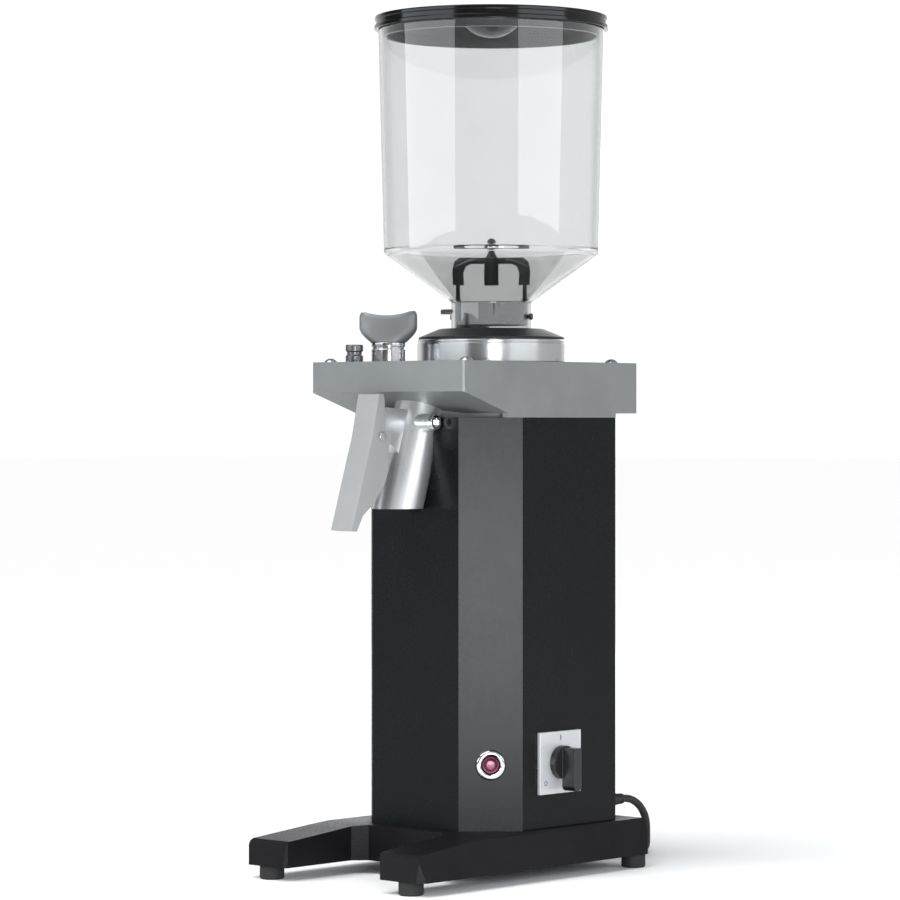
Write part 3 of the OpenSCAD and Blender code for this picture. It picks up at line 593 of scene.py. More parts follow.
# Steel turned and polished on a lathe: rings round its axis pull the highlights sideways
POLISHED = Finish("polished turned steel", "#c9cbcd", "polished_steel", "#bfc2c4", metallic=1.0, rough=0.17,
                  rough_change=0.04, grain=Grain.ROUND_Z, size=4.0, depth=0.004, stretch=0.4)
# Chromium plate over brass: nearly a mirror, with a slow change of gloss
CHROME = Finish("chromium plated brass", "#d5d7d9", "polished_steel", "#ced0d3", metallic=1.0, rough=0.1,
                rough_change=0.03, size=2.0, depth=0.002)
# Satin nickel plate: a dark even metal with wide highlights
SATIN_NICKEL = Finish("satin nickel plated steel", "#626466", "polished_steel", "#6c6e70", metallic=0.9,
                      rough=0.3, size=0.6, depth=0.004)
# Brushed stainless tube: lines along it, so that highlights run down it. Real ones are 0.1 mm wide,
# and are drawn wider so that they show
SPOUT_STEEL = Finish("satin stainless steel tube", "#c3c5c6", "spout_steel", "#b8babc", metallic=0.8,
                     rough=0.33, rough_change=0.07, grain=Grain.ALONG_Z, size=0.35, depth=0.006)
# Pressed steel sheet under a satin lacquer: a pale grey with a faint brushed line
CLAMP_STEEL = Finish("satin lacquered steel sheet", "#929393", "clamp_steel", "#8b8d8d", metallic=0.3,
                     rough=0.45, rough_change=0.07, grain=Grain.ALONG_Z, size=0.3, depth=0.006)
# Injection-moulded nylon with a spark-eroded skin: a soft dark grey
CAP_PLASTIC = Finish("moulded dark grey nylon", "#141517", "cap_plastic", "#191a1c", rough=0.45, size=0.4,
                     depth=0.012, specular=0.25)
# Moulded polycarbonate: clear and glossy, with painted shade: grey where the wall is seen along its length,
# and greyer in the cone
CLEAR = Finish("clear moulded polycarbonate", "#edefef", "clear_plastic", "#eaecec", rough=0.02,
               rough_change=0.01, clear=1.0, specular=0.9, ior=1.55, size=20, depth=0.02, edge="#55575a",
               shade_below=505)
# Moulded acrylic with a grey dye: smoky and see-through where it is thin, with painted shade, near black,
# where it is seen edge-on
SMOKED = Finish("smoked moulded acrylic", "#38383b", "smoked_plastic", "#3c3b3f", rough=0.06,
                rough_change=0.015, specular=0.25, clear=0.7, ior=1.49, edge="#0b0b0c")
# The same acrylic where it is thick: black and glossy, as no light gets through it
SMOKED_RIM = Finish("smoked moulded acrylic, thick", "#0d0d0e", "smoked_plastic", "#121213", rough=0.12,
                    rough_change=0.02, size=2, depth=0.004, specular=0.3)
# Die casting under nickel plate: bright, with a slight ripple
GATE_METAL = Finish("nickel plated die casting", "#b4b6b8", "gate_metal", "#a6a9ab", metallic=1.0,
                    rough=0.24, size=0.6, depth=0.01)
# Nylon from a polished mould: black with a soft gloss
GUARD_PLASTIC = Finish("black moulded nylon", "#0e0e0f", "guard_plastic", "#141415", rough=0.34, size=0.5,
                       depth=0.008)
# Die-cast zinc blasted with glass beads: an even grey. The 0.1 mm dimples are drawn wider so that they show
KNOB_METAL = Finish("bead blasted die cast zinc", "#6a6c6d", "knob_metal", "#747777", metallic=0.4,
                    rough=0.42, size=0.35, depth=0.012)
# Moulded phenolic: a deep wine red, glossy
BUTTON_RED = Finish("deep red glossy phenolic", "#430a22", "button_red", "#4e112c", rough=0.3, size=3,
                    depth=0.003, specular=0.2)
# Moulded translucent acrylic: a paler rose
BUTTON_LENS = Finish("rose translucent lens", "#7d3856", "button_red", "#87425f", rough=0.22, size=2,
                     depth=0.003, specular=0.4)
# Moulded phenolic: a flat dark grey
CONTACT = Finish("moulded grey phenolic", "#343639", "contact_plastic", "#3b3d40", rough=0.5, size=0.5,
                 depth=0.01)
# Rolled aluminium, brushed and anodised: pale, with fine lines along its width
PLATE = Finish("brushed anodised aluminium plate", "#bcbec1", "plate_metal", "#b3b6b9", metallic=0.35,
               rough=0.36, grain=Grain.ALONG_Y, size=0.3, depth=0.006)
# Screen-printed enamel ink: a flat dark grey
PLATE_INK = Finish("dark printed enamel", "#54565a", "plate_metal", "#5c5e62", rough=0.5, size=0.3,
                   depth=0.004)
# Moulded polyamide: black with a slight grain
SWITCH_PLASTIC = Finish("black moulded polyamide", "#0f0f10", "switch_plastic", "#161617", rough=0.32,
                        size=0.4, depth=0.008)
# Drawn aluminium can under a thin blue lacquer: a dark metallic blue
CAPACITOR = Finish("blue lacquered aluminium can", "#2a3c5e", "capacitor_can", "#31436a", metallic=0.3,
                   rough=0.35, size=1.0, depth=0.01)
# Moulded nylon: black and a little dull
GLAND = Finish("black moulded nylon gland", "#121213", "gland_plastic", "#1a1a1b", rough=0.5, size=0.4,
               depth=0.01)
# Extruded rubber: black with a soft wide highlight
CORD_RUBBER = Finish("extruded black rubber sheath", "#0d0d0e", "cord_rubber", "#141415", rough=0.5,
                     size=0.5, depth=0.012)
# Aluminium turned on a lathe: pale, with rings round its axis
MACHINED = Finish("machined aluminium", "#a9adaf", "machined_aluminium", "#9ea2a4", metallic=1.0,
                  rough=0.32, grain=Grain.ROUND_Z, size=4.0, depth=0.008)
# Steel with a phosphate coat: a dull dark grey
MOTOR_STEEL = Finish("phosphated steel", "#56595c", "motor_steel", "#616467", metallic=0.8, rough=0.5,
                     size=0.6, depth=0.01)
# Enamelled copper wire wound round the axis: orange bundles, coarser than the 0.6 mm wire so that they show
COPPER = Finish("enamelled copper wire", "#9a4f22", "copper_windings", "#b4622d", metallic=0.9, rough=0.3,
                grain=Grain.ROUND_Z, size=18.0, depth=0.2)
# Ground steel: pale, with a fine even gloss
GROUND = Finish("ground steel", "#c2c4c6", "ground_steel", "#b3b6b8", metallic=1.0, rough=0.26, size=0.5,
                depth=0.005)
# Hardened tool steel, turned: darker than the ground steel, with rings round its axis
BURR_STEEL = Finish("hardened tool steel", "#9fa3a6", "burr_steel", "#8f9396", metallic=1.0, rough=0.34,
                    grain=Grain.ROUND_Z, size=4.0, depth=0.008)
# Moulded polypropylene: a soft dull black
FAN_PLASTIC = Finish("moulded black polypropylene", "#17181a", "fan_plastic", "#1e1f21", rough=0.55,
                     size=0.5, depth=0.01)

# The finish of each of the record's material slots, for the CAD nodes that no piece stands for
SLOT_FINISHES = {f.slot: f for f in (
    CAST_PAINT, SHEET_PAINT, COVER_PAINT, HEAD_LACQUER, FOOT_RUBBER, ZINC, POLISHED, SPOUT_STEEL,
    CLAMP_STEEL, CAP_PLASTIC, CLEAR, SMOKED, GATE_METAL, GUARD_PLASTIC, KNOB_METAL, BUTTON_RED, CONTACT,
    PLATE, SWITCH_PLASTIC, CAPACITOR, GLAND, CORD_RUBBER, MACHINED, MOTOR_STEEL, COPPER, GROUND,
    BURR_STEEL, FAN_PLASTIC,
)}


# ---- Camera, floor and light ----


@dataclass(frozen=True)
class Panel:
    """A soft light's compass direction in degrees, its place and size in metres, and its power in watts."""

    name: str
    azimuth: float
    height: float
    distance: float
    size: tuple[float, float]
    power: float


@dataclass(frozen=True)
class Studio:
    """The camera, a pale floor, a white surround and large soft lights."""

    azimuth: float = 42.3
    spot: tuple[float, float, float] = (2.0244, -2.1898, 0.364)
    lens: float = 146.0
    sensor: float = 36.0
    shift: tuple[float, float] = (-0.0461, -0.0278)
    floor_half: float = 30.0
    sky_power: float = 2.5
    sky_spread: float = 50.0
    sky_tilt: tuple[float, float] = (32.0, -6.0)
    panel_colour: tuple[float, float, float] = (0.94, 0.97, 1.0)
    panel_target: tuple[float, float, float] = (0.0, 0.0, 0.25)
    panels: tuple[Panel, ...] = (
        Panel("front panel", 48, 0.2, 1.2, (0.36, 0.42), 9.5),
        Panel("left panel", -25, 0.97, 2.6, (3.1, 0.9), 27),
        Panel("right panel", 94, 0.99, 2.6, (2.4, 0.9), 19),
        Panel("rear panel", 215, 1.2, 2.8, (1.4, 1.6), 12),
    )

    def camera(self) -> None:
        """Makes the camera: level, looking at the right front edge."""
        data = bpy.data.cameras.new("camera")
        data.lens, data.sensor_width = self.lens, self.sensor
        data.shift_x, data.shift_y = self.shift
        camera = bpy.data.objects.new("camera", data)
        camera.location = self.spot
        camera.rotation_euler = Euler((math.radians(90), 0, math.radians(self.azimuth)))
        bpy.context.scene.collection.objects.link(camera)
        bpy.context.scene.camera = camera

    def floor(self) -> None:
        """Makes the floor: a matt white paper sweep."""
        h = self.floor_half
        mesh = bpy.data.meshes.new("floor")
        mesh.from_pydata([(-h, -h, 0), (h, -h, 0), (h, h, 0), (-h, h, 0)], [], [(0, 1, 2, 3)])
        floor = bpy.data.objects.new("floor", mesh)
        bpy.context.scene.collection.objects.link(floor)
        paper = bpy.data.materials.new("matt white paper sweep")
        paper.use_nodes = True
        base = paper.node_tree.nodes["Principled BSDF"]
        base.inputs["Base Color"].default_value = linear("#fdfdfd")
        base.inputs["Roughness"].default_value = 0.9
        base.inputs["Specular IOR Level"].default_value = 0.1
        floor.data.materials.append(paper)

    def glow(self, tree: bpy.types.NodeTree, way: Corner, start: float, end: float, low: float,
             high: float) -> bpy.types.NodeSocket:
        """Adds a brightness that changes across the surround.

        Args:
            tree: The world's nodes.
            way: The direction it changes along.
            start: Share of that direction where the change starts.
            end: Share where it ends.
            low: Brightness before the start.
            high: Brightness after the end.

        Returns:
            The brightness.
        """
        look = add(tree, "TexCoord").outputs["Generated"]
        share = add(tree, "VectorMath", {0: look, 1: way}, operation="DOT_PRODUCT").outputs["Value"]
        return add(tree, "MapRange", {"Value": share, "From Min": start, "From Max": end,
                                      "To Min": low, "To Max": high}).outputs["Result"]

    def surround(self) -> None:
        """Makes the surround: white to the camera, and lit walls to everything that mirrors them."""
        world = bpy.data.worlds.new("white surround")
        world.use_nodes = True
        tree = world.node_tree
        tree.nodes.clear()
        path = add(tree, "LightPath")
        seen = add(tree, "Math", {0: path.outputs["Is Camera Ray"], 1: path.outputs["Is Transmission Ray"]},
                   operation="MAXIMUM")
        # The wall on the right and behind is lit, the one on the left is in shade, and paper hangs behind
        wall = self.glow(tree, (0.8, 0.6, 0.1), -0.3, 0.8, 0.06, 0.62)
        paper = self.glow(tree, (-0.67, 0.74, 0.0), 0.6, 0.8, 0.0, 0.9)
        lit = add(tree, "Math", {0: wall, 1: paper}, operation="MAXIMUM")
        dim = add(tree, "Background", {"Color": (1, 1, 1, 1), "Strength": lit.outputs[0]})
        white = add(tree, "Background", {"Color": (1, 1, 1, 1), "Strength": 1.05})
        mixed = add(tree, "MixShader", {0: seen.outputs[0], 1: dim.outputs[0], 2: white.outputs[0]})
        add(tree, "OutputWorld", {"Surface": mixed.outputs[0]})
        bpy.context.scene.world = world

    def sky(self) -> None:
        """Makes the light from above: a sun whose wide disc gives soft shadows."""
        sun = bpy.data.lights.new("sky panel", "SUN")
        sun.energy, sun.angle = self.sky_power, math.radians(self.sky_spread)
        high = bpy.data.objects.new("sky panel", sun)
        high.rotation_euler = Euler((math.radians(self.sky_tilt[0]), math.radians(self.sky_tilt[1]), 0))
        bpy.context.scene.collection.objects.link(high)

    def softbox(self, panel: Panel) -> None:
        """Makes an area light that faces the column's middle, and that only mirrors and surfaces see.

        Args:
            panel: What the light is like and where it stands.
        """
        light = bpy.data.lights.new(panel.name, "AREA")
        light.shape, light.energy = "RECTANGLE", panel.power
        light.size, light.size_y = panel.size
        light.color = self.panel_colour
        lamp = bpy.data.objects.new(panel.name, light)
        a = math.radians(panel.azimuth)
        lamp.location = (panel.distance * math.sin(a), -panel.distance * math.cos(a), panel.height)
        way = Vector(self.panel_target) - Vector(lamp.location)
        lamp.rotation_euler = way.to_track_quat("-Z", "Y").to_euler()
        lamp.visible_camera = lamp.visible_transmission = False
        bpy.context.scene.collection.objects.link(lamp)

    def build(self) -> None:
        """Makes the floor, the surround and the lights."""
        self.floor()
        self.surround()
        self.sky()
        for panel in self.panels:
            self.softbox(panel)
        bpy.context.scene.view_settings.view_transform = "Standard"


# ---- Cord ----


@dataclass
class Cord:
    """The mains cord: from the strain relief down to the floor, into a coil, and to its plug.

    The route's points are in the frame's own millimetres, not from the hopper's axis.
    """

    diameter: float = 6.5
    exit_route: tuple = (
        (40, 153, 50), (40, 161, 50), (40, 169.5, 47.5), (40.5, 177, 42.5), (40, 182.5, 36.5),
        (40, 186, 29.5), (38.5, 188, 21), (35.5, 191.5, 14), (31.5, 196.5, 8.5), (26.5, 201.5, 5),
        (21, 207, 3.5), (14, 213, 3.4), (7.5, 219, 3.3), (1.5, 224.5, 3.3), (-4.5, 230.5, 3.3),
    )
    tail_route: tuple = (
        (-40, 241, 9.9), (-51, 241, 10.4), (-62, 241, 12.2), (-73, 241, 14.8), (-84, 241, 17.4),
        (-94, 241, 18.5),
    )
    coil_spot: tuple = (-40, 195)
    coil_outer: float = 50.0
    coil_inner: float = 26.1
    turn_gap: float = 6.6
    turn_steps: int = 64
    out_turns: float = 3.0
    layers: tuple = (3.3, 9.9)
    entry_angle: float = 45.0
    step: float = 2.2

    def spline(self, route: Sequence[Corner], steps: int = 8) -> Points:
        """Cubic B-spline of a route.

        Each stretch between b and c is ((1-t)^3 a + (3t^3 - 6t^2 + 4) b + (3t^2 + 3t + 1 - 3t^3) c
        + t^3 d) / 6, where a and d are the points before and after, reflected at the route's ends.

        Args:
            route: Points that the line goes near, and its two ends.
            steps: Points of the line on each stretch.

        Returns:
            Rows of x, y and z.
        """
        p = np.array(route, float)
        p = np.vstack([2 * p[0] - p[1], p, 2 * p[-1] - p[-2]])
        t = np.linspace(0, 1, steps, endpoint=False)[None, :, None]
        a, b, c, d = (p[i : len(p) - 3 + i, None] for i in range(4))
        line = ((1 - t) ** 3 * a + (3 * t**3 - 6 * t**2 + 4) * b
                + (3 * t**2 + 3 * t + 1 - 3 * t**3) * c + t**3 * d) / 6
        return np.vstack([line.reshape(-1, 3), p[-2]])

    def coil(self) -> Points:
        """Coil of two layers: in along the floor, half a turn up, and out on top.

        Both layers are spirals whose radius changes by one gap a turn, and the height between them
        follows 3u^2 - 2u^3 over half a turn at the inmost point. The line leaves an eighth of a turn
        past the angle at which it comes in, so that it heads for the plug.

        Returns:
            Rows of x, y and z.
        """
        low_turns = (self.coil_outer - self.coil_inner) / self.turn_gap
        rise, start, leave = 0.5, 0.2, 0.125
        total = math.ceil(low_turns + rise + self.out_turns - leave) + leave
        u = np.linspace(0, total, int(total * self.turn_steps))
        inward = self.coil_outer - self.turn_gap * u
        outward = self.coil_inner + self.turn_gap * (u - (total - self.out_turns))
        radius = np.maximum(np.maximum(inward, self.coil_inner), outward)
        climb = np.clip((u - (low_turns - start)) / rise, 0, 1)
        height = self.layers[0] + (self.layers[1] - self.layers[0]) * (3 * climb**2 - 2 * climb**3)
        angle = math.radians(self.entry_angle) + 2 * math.pi * u
        x = self.coil_spot[0] + radius * np.cos(angle)
        y = self.coil_spot[1] + radius * np.sin(angle)
        return np.stack([x, y, height], axis=-1)

    def path(self) -> Points:
        """The cord's whole centreline, smoothed where its three stretches meet.

        Returns:
            Evenly spaced rows of x, y and z, in metres.
        """
        down, tail = self.spline(self.exit_route), self.spline(self.tail_route)
        line = np.vstack([down[:-1], self.coil(), tail[1:]])
        gaps = np.linalg.norm(np.diff(line, axis=0), axis=1)
        along = np.concatenate([[0], np.cumsum(gaps)])
        even = np.linspace(0, along[-1], int(along[-1] / self.step))
        line = np.stack([np.interp(even, along, line[:, i]) for i in range(3)], axis=-1)
        for _ in range(2):
            line[1:-1] = (line[:-2] + 2 * line[1:-1] + line[2:]) / 4
        return line * MM

    def plug(self) -> list[bpy.types.Object]:
        """The plug: a neck whose ribs widen towards the grip, a grip with a waist, a round face, two pins.

        Returns:
            The body, and the pins.
        """
        x, y, z = self.tail_route[-1]
        y -= AXIS[1]
        rib, wider, deeper = 3.2, 0.75, 0.8
        body = [(TIP, 0, 0), (4.6, 0, 0.5)]
        for i in range(4):
            body += [(5.6 + i * wider, 1.2 + i * rib, 0.4), (5.6 + i * wider, 2.9 + i * rib, 0.4),
                     (4.5 + i * deeper, 3.1 + i * rib, 0.2), (4.6 + i * deeper, 4.2 + i * rib, 0.2)]
        body += [(13.5, 14.5, 2), (15.2, 24, 4), (18.3, 25, 0.8), (18.3, 43, 1.2), (15.5, 43.5, 0.4),
                 (15.5, 41, 0.4), (TIP, 41, 0)]
        pieces = [lathe("plug_body", rounded(body, 0.5), (x, y, z), Turn.LEFT, 64)]
        pin = [(TIP, 40, 0), (2.35, 40, 0), (2.35, 61.8, 1.0), (TIP, 61.8, 0)]
        for side, name in ((-9.5, "plug_pin_near"), (9.5, "plug_pin_far")):
            pieces.append(lathe(name, rounded(pin, 0.4), (x, y + side, z), Turn.LEFT, 24))
        return pieces

    def build(self) -> None:
        line = self.path()
        length = float(np.linalg.norm(np.diff(line, axis=0), axis=1).sum())
        LOG.info("the cord's line is %.3f m long", length)
        cord = surface("mains_cord", carried(line, self.diameter / 2 * MM, 14), (False, True), caps=True)
        keep(cord, ["cord", "cord_coil", "cord_tail"], CORD_RUBBER)
        body, *pins = self.plug()
        keep(body, ["plug"], CORD_RUBBER)
        for pin in pins:
            keep(pin, [], CHROME, "frame")


# ---- Base and column ----


@dataclass
class Base:
    """The cast base, its feet, its bottom cover and their screws."""

    edge: float = 2.2
    foot: float = 0.8

    def build(self) -> None:
        """Makes the pieces below the column."""
        keep(refined("base", self.edge, angle=20), ["base"], CAST_PAINT)
        keep(refined("bottom_cover", 0.3), ["bottom_cover"], COVER_PAINT)
        keep(refined("rubber_feet", self.foot, angle=40), ["rubber_feet"], FOOT_RUBBER)
        keep(refined("foot_screws", 0.25, angle=40), ["foot_screws"], ZINC)


@dataclass
class Column:
    """The folded steel column, its rear cover, and the cord's gland and strain relief."""

    fold: float = 1.6
    rib_count: int = 6
    rib_depth: float = 0.9
    sleeve_r: float = 6.0
    taper: float = 1.6

    def strain_relief(self) -> bpy.types.Object:
        """Tapered sleeve whose outline rises and falls in ribs as the cosine of its length.

        Returns:
            The sleeve, plain at its two ends.
        """
        low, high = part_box("strain_relief")
        length = (high.y - low.y) / MM
        t = np.linspace(0, 1, 90)
        ribs = self.rib_depth / 2 * (np.cos(2 * math.pi * self.rib_count * t) - 1)
        radius = self.sleeve_r - self.taper * t + np.where((t > 0.08) & (t < 0.92), ribs, 0)
        outline = np.stack([radius, t * length], axis=-1)
        outline = np.vstack([[TIP, 0], outline, [TIP, length]])
        spot = ((low.x + high.x) / 2 / MM, low.y / MM - AXIS[1], (low.z + high.z) / 2 / MM)
        return lathe("strain_relief_sleeve", outline, spot, Turn.BACK, 40)

    def build(self) -> None:
        """Makes the pieces of the column."""
        keep(refined("column_shell", self.fold, angle=30, steps=4), ["column_shell"], SHEET_PAINT)
        keep(refined("rear_cover", 0.35), ["rear_cover"], COVER_PAINT)
        keep(refined("rear_cover_screws", 0.25, angle=40), ["rear_cover_screws"], ZINC)
        keep(refined("cable_gland", 0.6), ["cable_gland"], GLAND)
        keep(self.strain_relief(), ["strain_relief"], GLAND)


# ---- Head ----


@dataclass
class Head:
    """The cast head with its screws, lock knob and index pin."""

    edge: float = 1.4
    stem_spot: tuple = (-40, -81)
    pin_spot: tuple = (-60, -100)
    top: float = 415.0
    knob_foot: float = 431.0
    knob_height: float = 22.3
    knob_half: tuple = (14.2, 12.6)
    knob_turn: float = 42.0

    def stem(self) -> bpy.types.Object:
        """Turned stem under the lock knob, with a step and a small lip at its top."""
        z = self.top
        outline = [(TIP, z - 17), (5, z - 17), (5, z + 0.3, 0), (14, z + 0.3, 0.6), (14, z + 10.5, 0.4),
                   (13.2, z + 11, 0.2), (13.2, z + 12.4, 0.2), (14, z + 12.9, 0.4), (14, z + 15.9, 0.4),
                   (TIP, z + 15.9)]
        return lathe("lock_stem_turned", rounded(outline, 0.5), (*self.stem_spot, 0))

    def pin(self) -> bpy.types.Object:
        """Index pin: two discs with a groove between them."""
        z = self.top
        outline = [(TIP, z - 13), (3, z - 13), (3, z, 0), (7.2, z, 0.3), (7.2, z + 5.4, 0.6),
                   (6.1, z + 6, 0.3), (6.1, z + 8.5, 0.3), (7.2, z + 9.1, 0.6), (7.2, z + 14.4, 1.0),
                   (TIP, z + 14.4)]
        return lathe("index_pin_turned", rounded(outline, 0.5), (*self.pin_spot, 0), steps=64)

    def knob(self) -> bpy.types.Object:
        """Wing knob: an oval that widens from its stem, with a saddle across its top.

        Up to half its height the oval's half width grows as a sine, and its half depth shrinks all the
        way as the height to the power 1.5. Near the top both draw in with the square of the height, and
        the top closes by the oval shrinking to nothing. The height at x is a low middle plus a rise with
        x squared, with a slight slope along x.

        Returns:
            The knob, turned on its stem.
        """
        rows, cap_rows, crown_from, power = 28, 10, 0.84, 0.8
        widen, narrow, saddle, saddle_half, slope = 9.4, 5.2, 2.9, 18, 0.03
        around = np.linspace(0, 2 * math.pi, 96, endpoint=False)
        v = np.concatenate([np.linspace(0, 1, rows), np.ones(cap_rows)])[:, None]
        closing = np.cos(np.linspace(0, 1, cap_rows + 1)[1:] * math.pi / 2)
        shrink = np.concatenate([np.ones(rows), closing])[:, None]
        swell = np.sin(np.clip(v / 0.5, 0, 1) * math.pi / 2)
        crown = np.where(v > crown_from, 1 - 0.07 * ((v - crown_from) / (1 - crown_from)) ** 2, 1.0)
        half_w = (self.knob_half[0] + widen * swell) * crown * shrink
        half_d = (self.knob_half[1] - narrow * v**1.5) * crown * shrink
        x = half_w * powered(np.cos(around), power)
        y = half_d * powered(np.sin(around), power)
        rise = saddle * np.clip(np.abs(x) / saddle_half, 0, 1) ** 2
        height = self.knob_height + rise + slope * x
        z = self.knob_foot + v * height + 0 * around
        a = math.radians(self.knob_turn)
        points = [x * math.cos(a) - y * math.sin(a), x * math.sin(a) + y * math.cos(a), z]
        grid = place(np.stack(points, axis=-1), (*self.stem_spot, 0))
        base = grid[:1].mean(axis=1, keepdims=True) + np.zeros_like(grid[:1])
        return surface("lock_knob_cast", np.concatenate([base, grid]), (False, True))

    def build(self) -> None:
        """Makes the pieces of the head."""
        keep(refined("head_casting", self.edge, angle=25), ["head_casting"], HEAD_LACQUER)
        keep(refined("head_screws", 0.25, angle=40), ["head_screws"], ZINC)
        keep(self.stem(), ["lock_stem"], CHROME)
        keep(self.pin(), ["index_pin"], SATIN_NICKEL)
        keep(self.knob(), ["lock_knob"], KNOB_METAL)


# ---- Collar, hopper and gate ----


# The gate's slot: where it starts in X, its half width, and its lowest and highest point
SLOT_START, SLOT_HALF, SLOT_LOW, SLOT_HIGH = -40.0, 21.0, 456.0, 460.0


def gate_slot(end: float) -> bpy.types.Object:
    """Cutter of the gate's slot, from outside the neck's left to a place in X."""
    return box_mesh("gate slot", (SLOT_START, -SLOT_HALF, SLOT_LOW), (end, SLOT_HALF, SLOT_HIGH))


@dataclass
class Hopper:
    """The adjusting collar, its cap, the clear hopper and its lid."""

    collar_r: float = 61.2
    collar_z: tuple = (415.3, 434.0)
    sleeve_r: tuple = (45.0, 55.9)
    sleeve_z: float = 402.0
    cap_r: tuple = (27.0, 60.0)
    cap_z: tuple = (434.0, 436.0, 443.0)
    neck_r: float = 33.2
    neck_z: tuple = (436.0, 465.0)
    low_r: float = 88.8
    cone_z: float = 505.0
    rim_r: float = 93.3
    rim_z: float = 689.0
    wall: float = 3.0
    lid_r: float = 96.6
    lid_z: tuple = (689.2, 700.0)
    lid_under: float = 694.0
    skirt_r: tuple = (86.6, 89.6)
    skirt_depth: float = 6.0
    bowl_r: float = 25.0
    bowl_depth: float = 15.0

    def collar(self) -> bpy.types.Object:
        """Turned collar: a fine groove below its chamfered top, and the thread's sleeve inside.

        Returns:
            The collar with its sleeve.
        """
        low, high = self.collar_z
        bore, sleeve = self.sleeve_r
        r, foot = self.collar_r, self.sleeve_z
        outline = [(bore, foot, 0.4), (sleeve, foot, 0.4), (sleeve, low, 0), (r - 0.6, low, 0.3),
                   (r, low + 0.6, 0.3), (r, high - 3.4, 0.2), (r - 0.7, high - 3.0, 0.2),
                   (r - 0.7, high - 2.3, 0.2), (r, high - 1.9, 0.2), (r, high - 0.8, 0.4),
                   (r - 0.8, high, 0.4), (bore, high, 0.4)]
        return lathe("adjusting_collar_turned", rounded(outline, 0.3), steps=192)

    def cap(self) -> bpy.types.Object:
        """Conical cap on the collar, with the step that the hopper's neck sits in."""
        bore, rim = self.cap_r
        low, step, high = self.cap_z
        outline = [(bore, low, 0.3), (rim, low, 0.2), (rim, step, 0.6), (43, high, 2.5),
                   (self.neck_r, high, 0.4), (self.neck_r, step, 0.2), (bore, step, 0.3)]
        return lathe("collar_cap_moulded", rounded(outline, 0.4), steps=160)

    def bowl(self) -> bpy.types.Object:
        """Clear hopper: a neck, a cone with a thick corner, and a slightly flared cylinder.

        Returns:
            The hopper, open at both ends.
        """
        w = self.wall
        outline = [
            (self.neck_r, self.neck_z[0], 0.4), (self.neck_r, self.neck_z[1], 2.0),
            (self.low_r, self.cone_z, 3.5), (self.rim_r, self.rim_z - 5, 0.5),
            (self.rim_r, self.rim_z, 0.8), (self.rim_r - w, self.rim_z, 0.8),
            (self.low_r - w, self.cone_z + 1.5, 7.0),
            (self.neck_r - w, self.neck_z[1] + 2, 3.0), (self.neck_r - w, self.neck_z[0], 0.4),
        ]
        return lathe("hopper_moulded", rounded(outline, 1, 8), steps=192)

    def lid(self) -> bpy.types.Object:
        """Lid with a groove round its rim and a finger bowl that is part of a sphere.

        The bowl's radius of curvature is (r^2 + d^2) / 2d, for a bowl of radius r and depth d.

        Returns:
            The lid, with a skirt that sits inside the hopper's rim.
        """
        r, (low, high), under_z = self.lid_r, self.lid_z, self.lid_under
        inner, outer = self.skirt_r
        hem = low - self.skirt_depth
        sphere = (self.bowl_r**2 + self.bowl_depth**2) / (2 * self.bowl_depth)
        middle = high + sphere - self.bowl_depth
        swing = np.linspace(0.002, math.asin((self.bowl_r - 0.8) / sphere), 14)
        inside = [(sphere * math.sin(a), middle - sphere * math.cos(a), 0) for a in swing]
        shell = sphere + 2
        under = np.linspace(math.acos((middle - under_z) / shell), 0.002, 12)
        below = [(shell * math.sin(a), middle - shell * math.cos(a), 0) for a in under]
        rim = [(self.bowl_r + 0.6, high, 0.6), (r - 0.5, high, 1.2), (r - 0.5, low + 7.6, 0.5),
               (r - 1.3, low + 7.2, 0.2), (r - 1.3, low + 3.6, 0.2), (r, low + 3.2, 0.5), (r, low, 0.5),
               (outer, low, 0.2), (outer, hem, 0.5), (inner, hem, 0.5), (inner, under_z, 1.0)]
        return lathe("hopper_lid_moulded", rounded(inside + rim + below, 0.3), steps=192)

    def build(self) -> None:
        """Makes the pieces above the head that turn with the collar, and the lid."""
        keep(self.collar(), ["adjusting_collar"], POLISHED)
        keep(self.cap(), ["collar_cap"], CAP_PLASTIC)
        keep(cut(self.bowl(), gate_slot(-4.0)), ["hopper"], CLEAR)
        lid = keep(self.lid(), ["hopper_lid"], SMOKED)
        # The rim is thick, and black where the flat top lets light through
        patch(lid, SMOKED_RIM, lambda spots: np.hypot(spots[:, 0], spots[:, 1]) > 90)
        keep(refined("lid_grip", 1.4), ["lid_grip"], SMOKED)


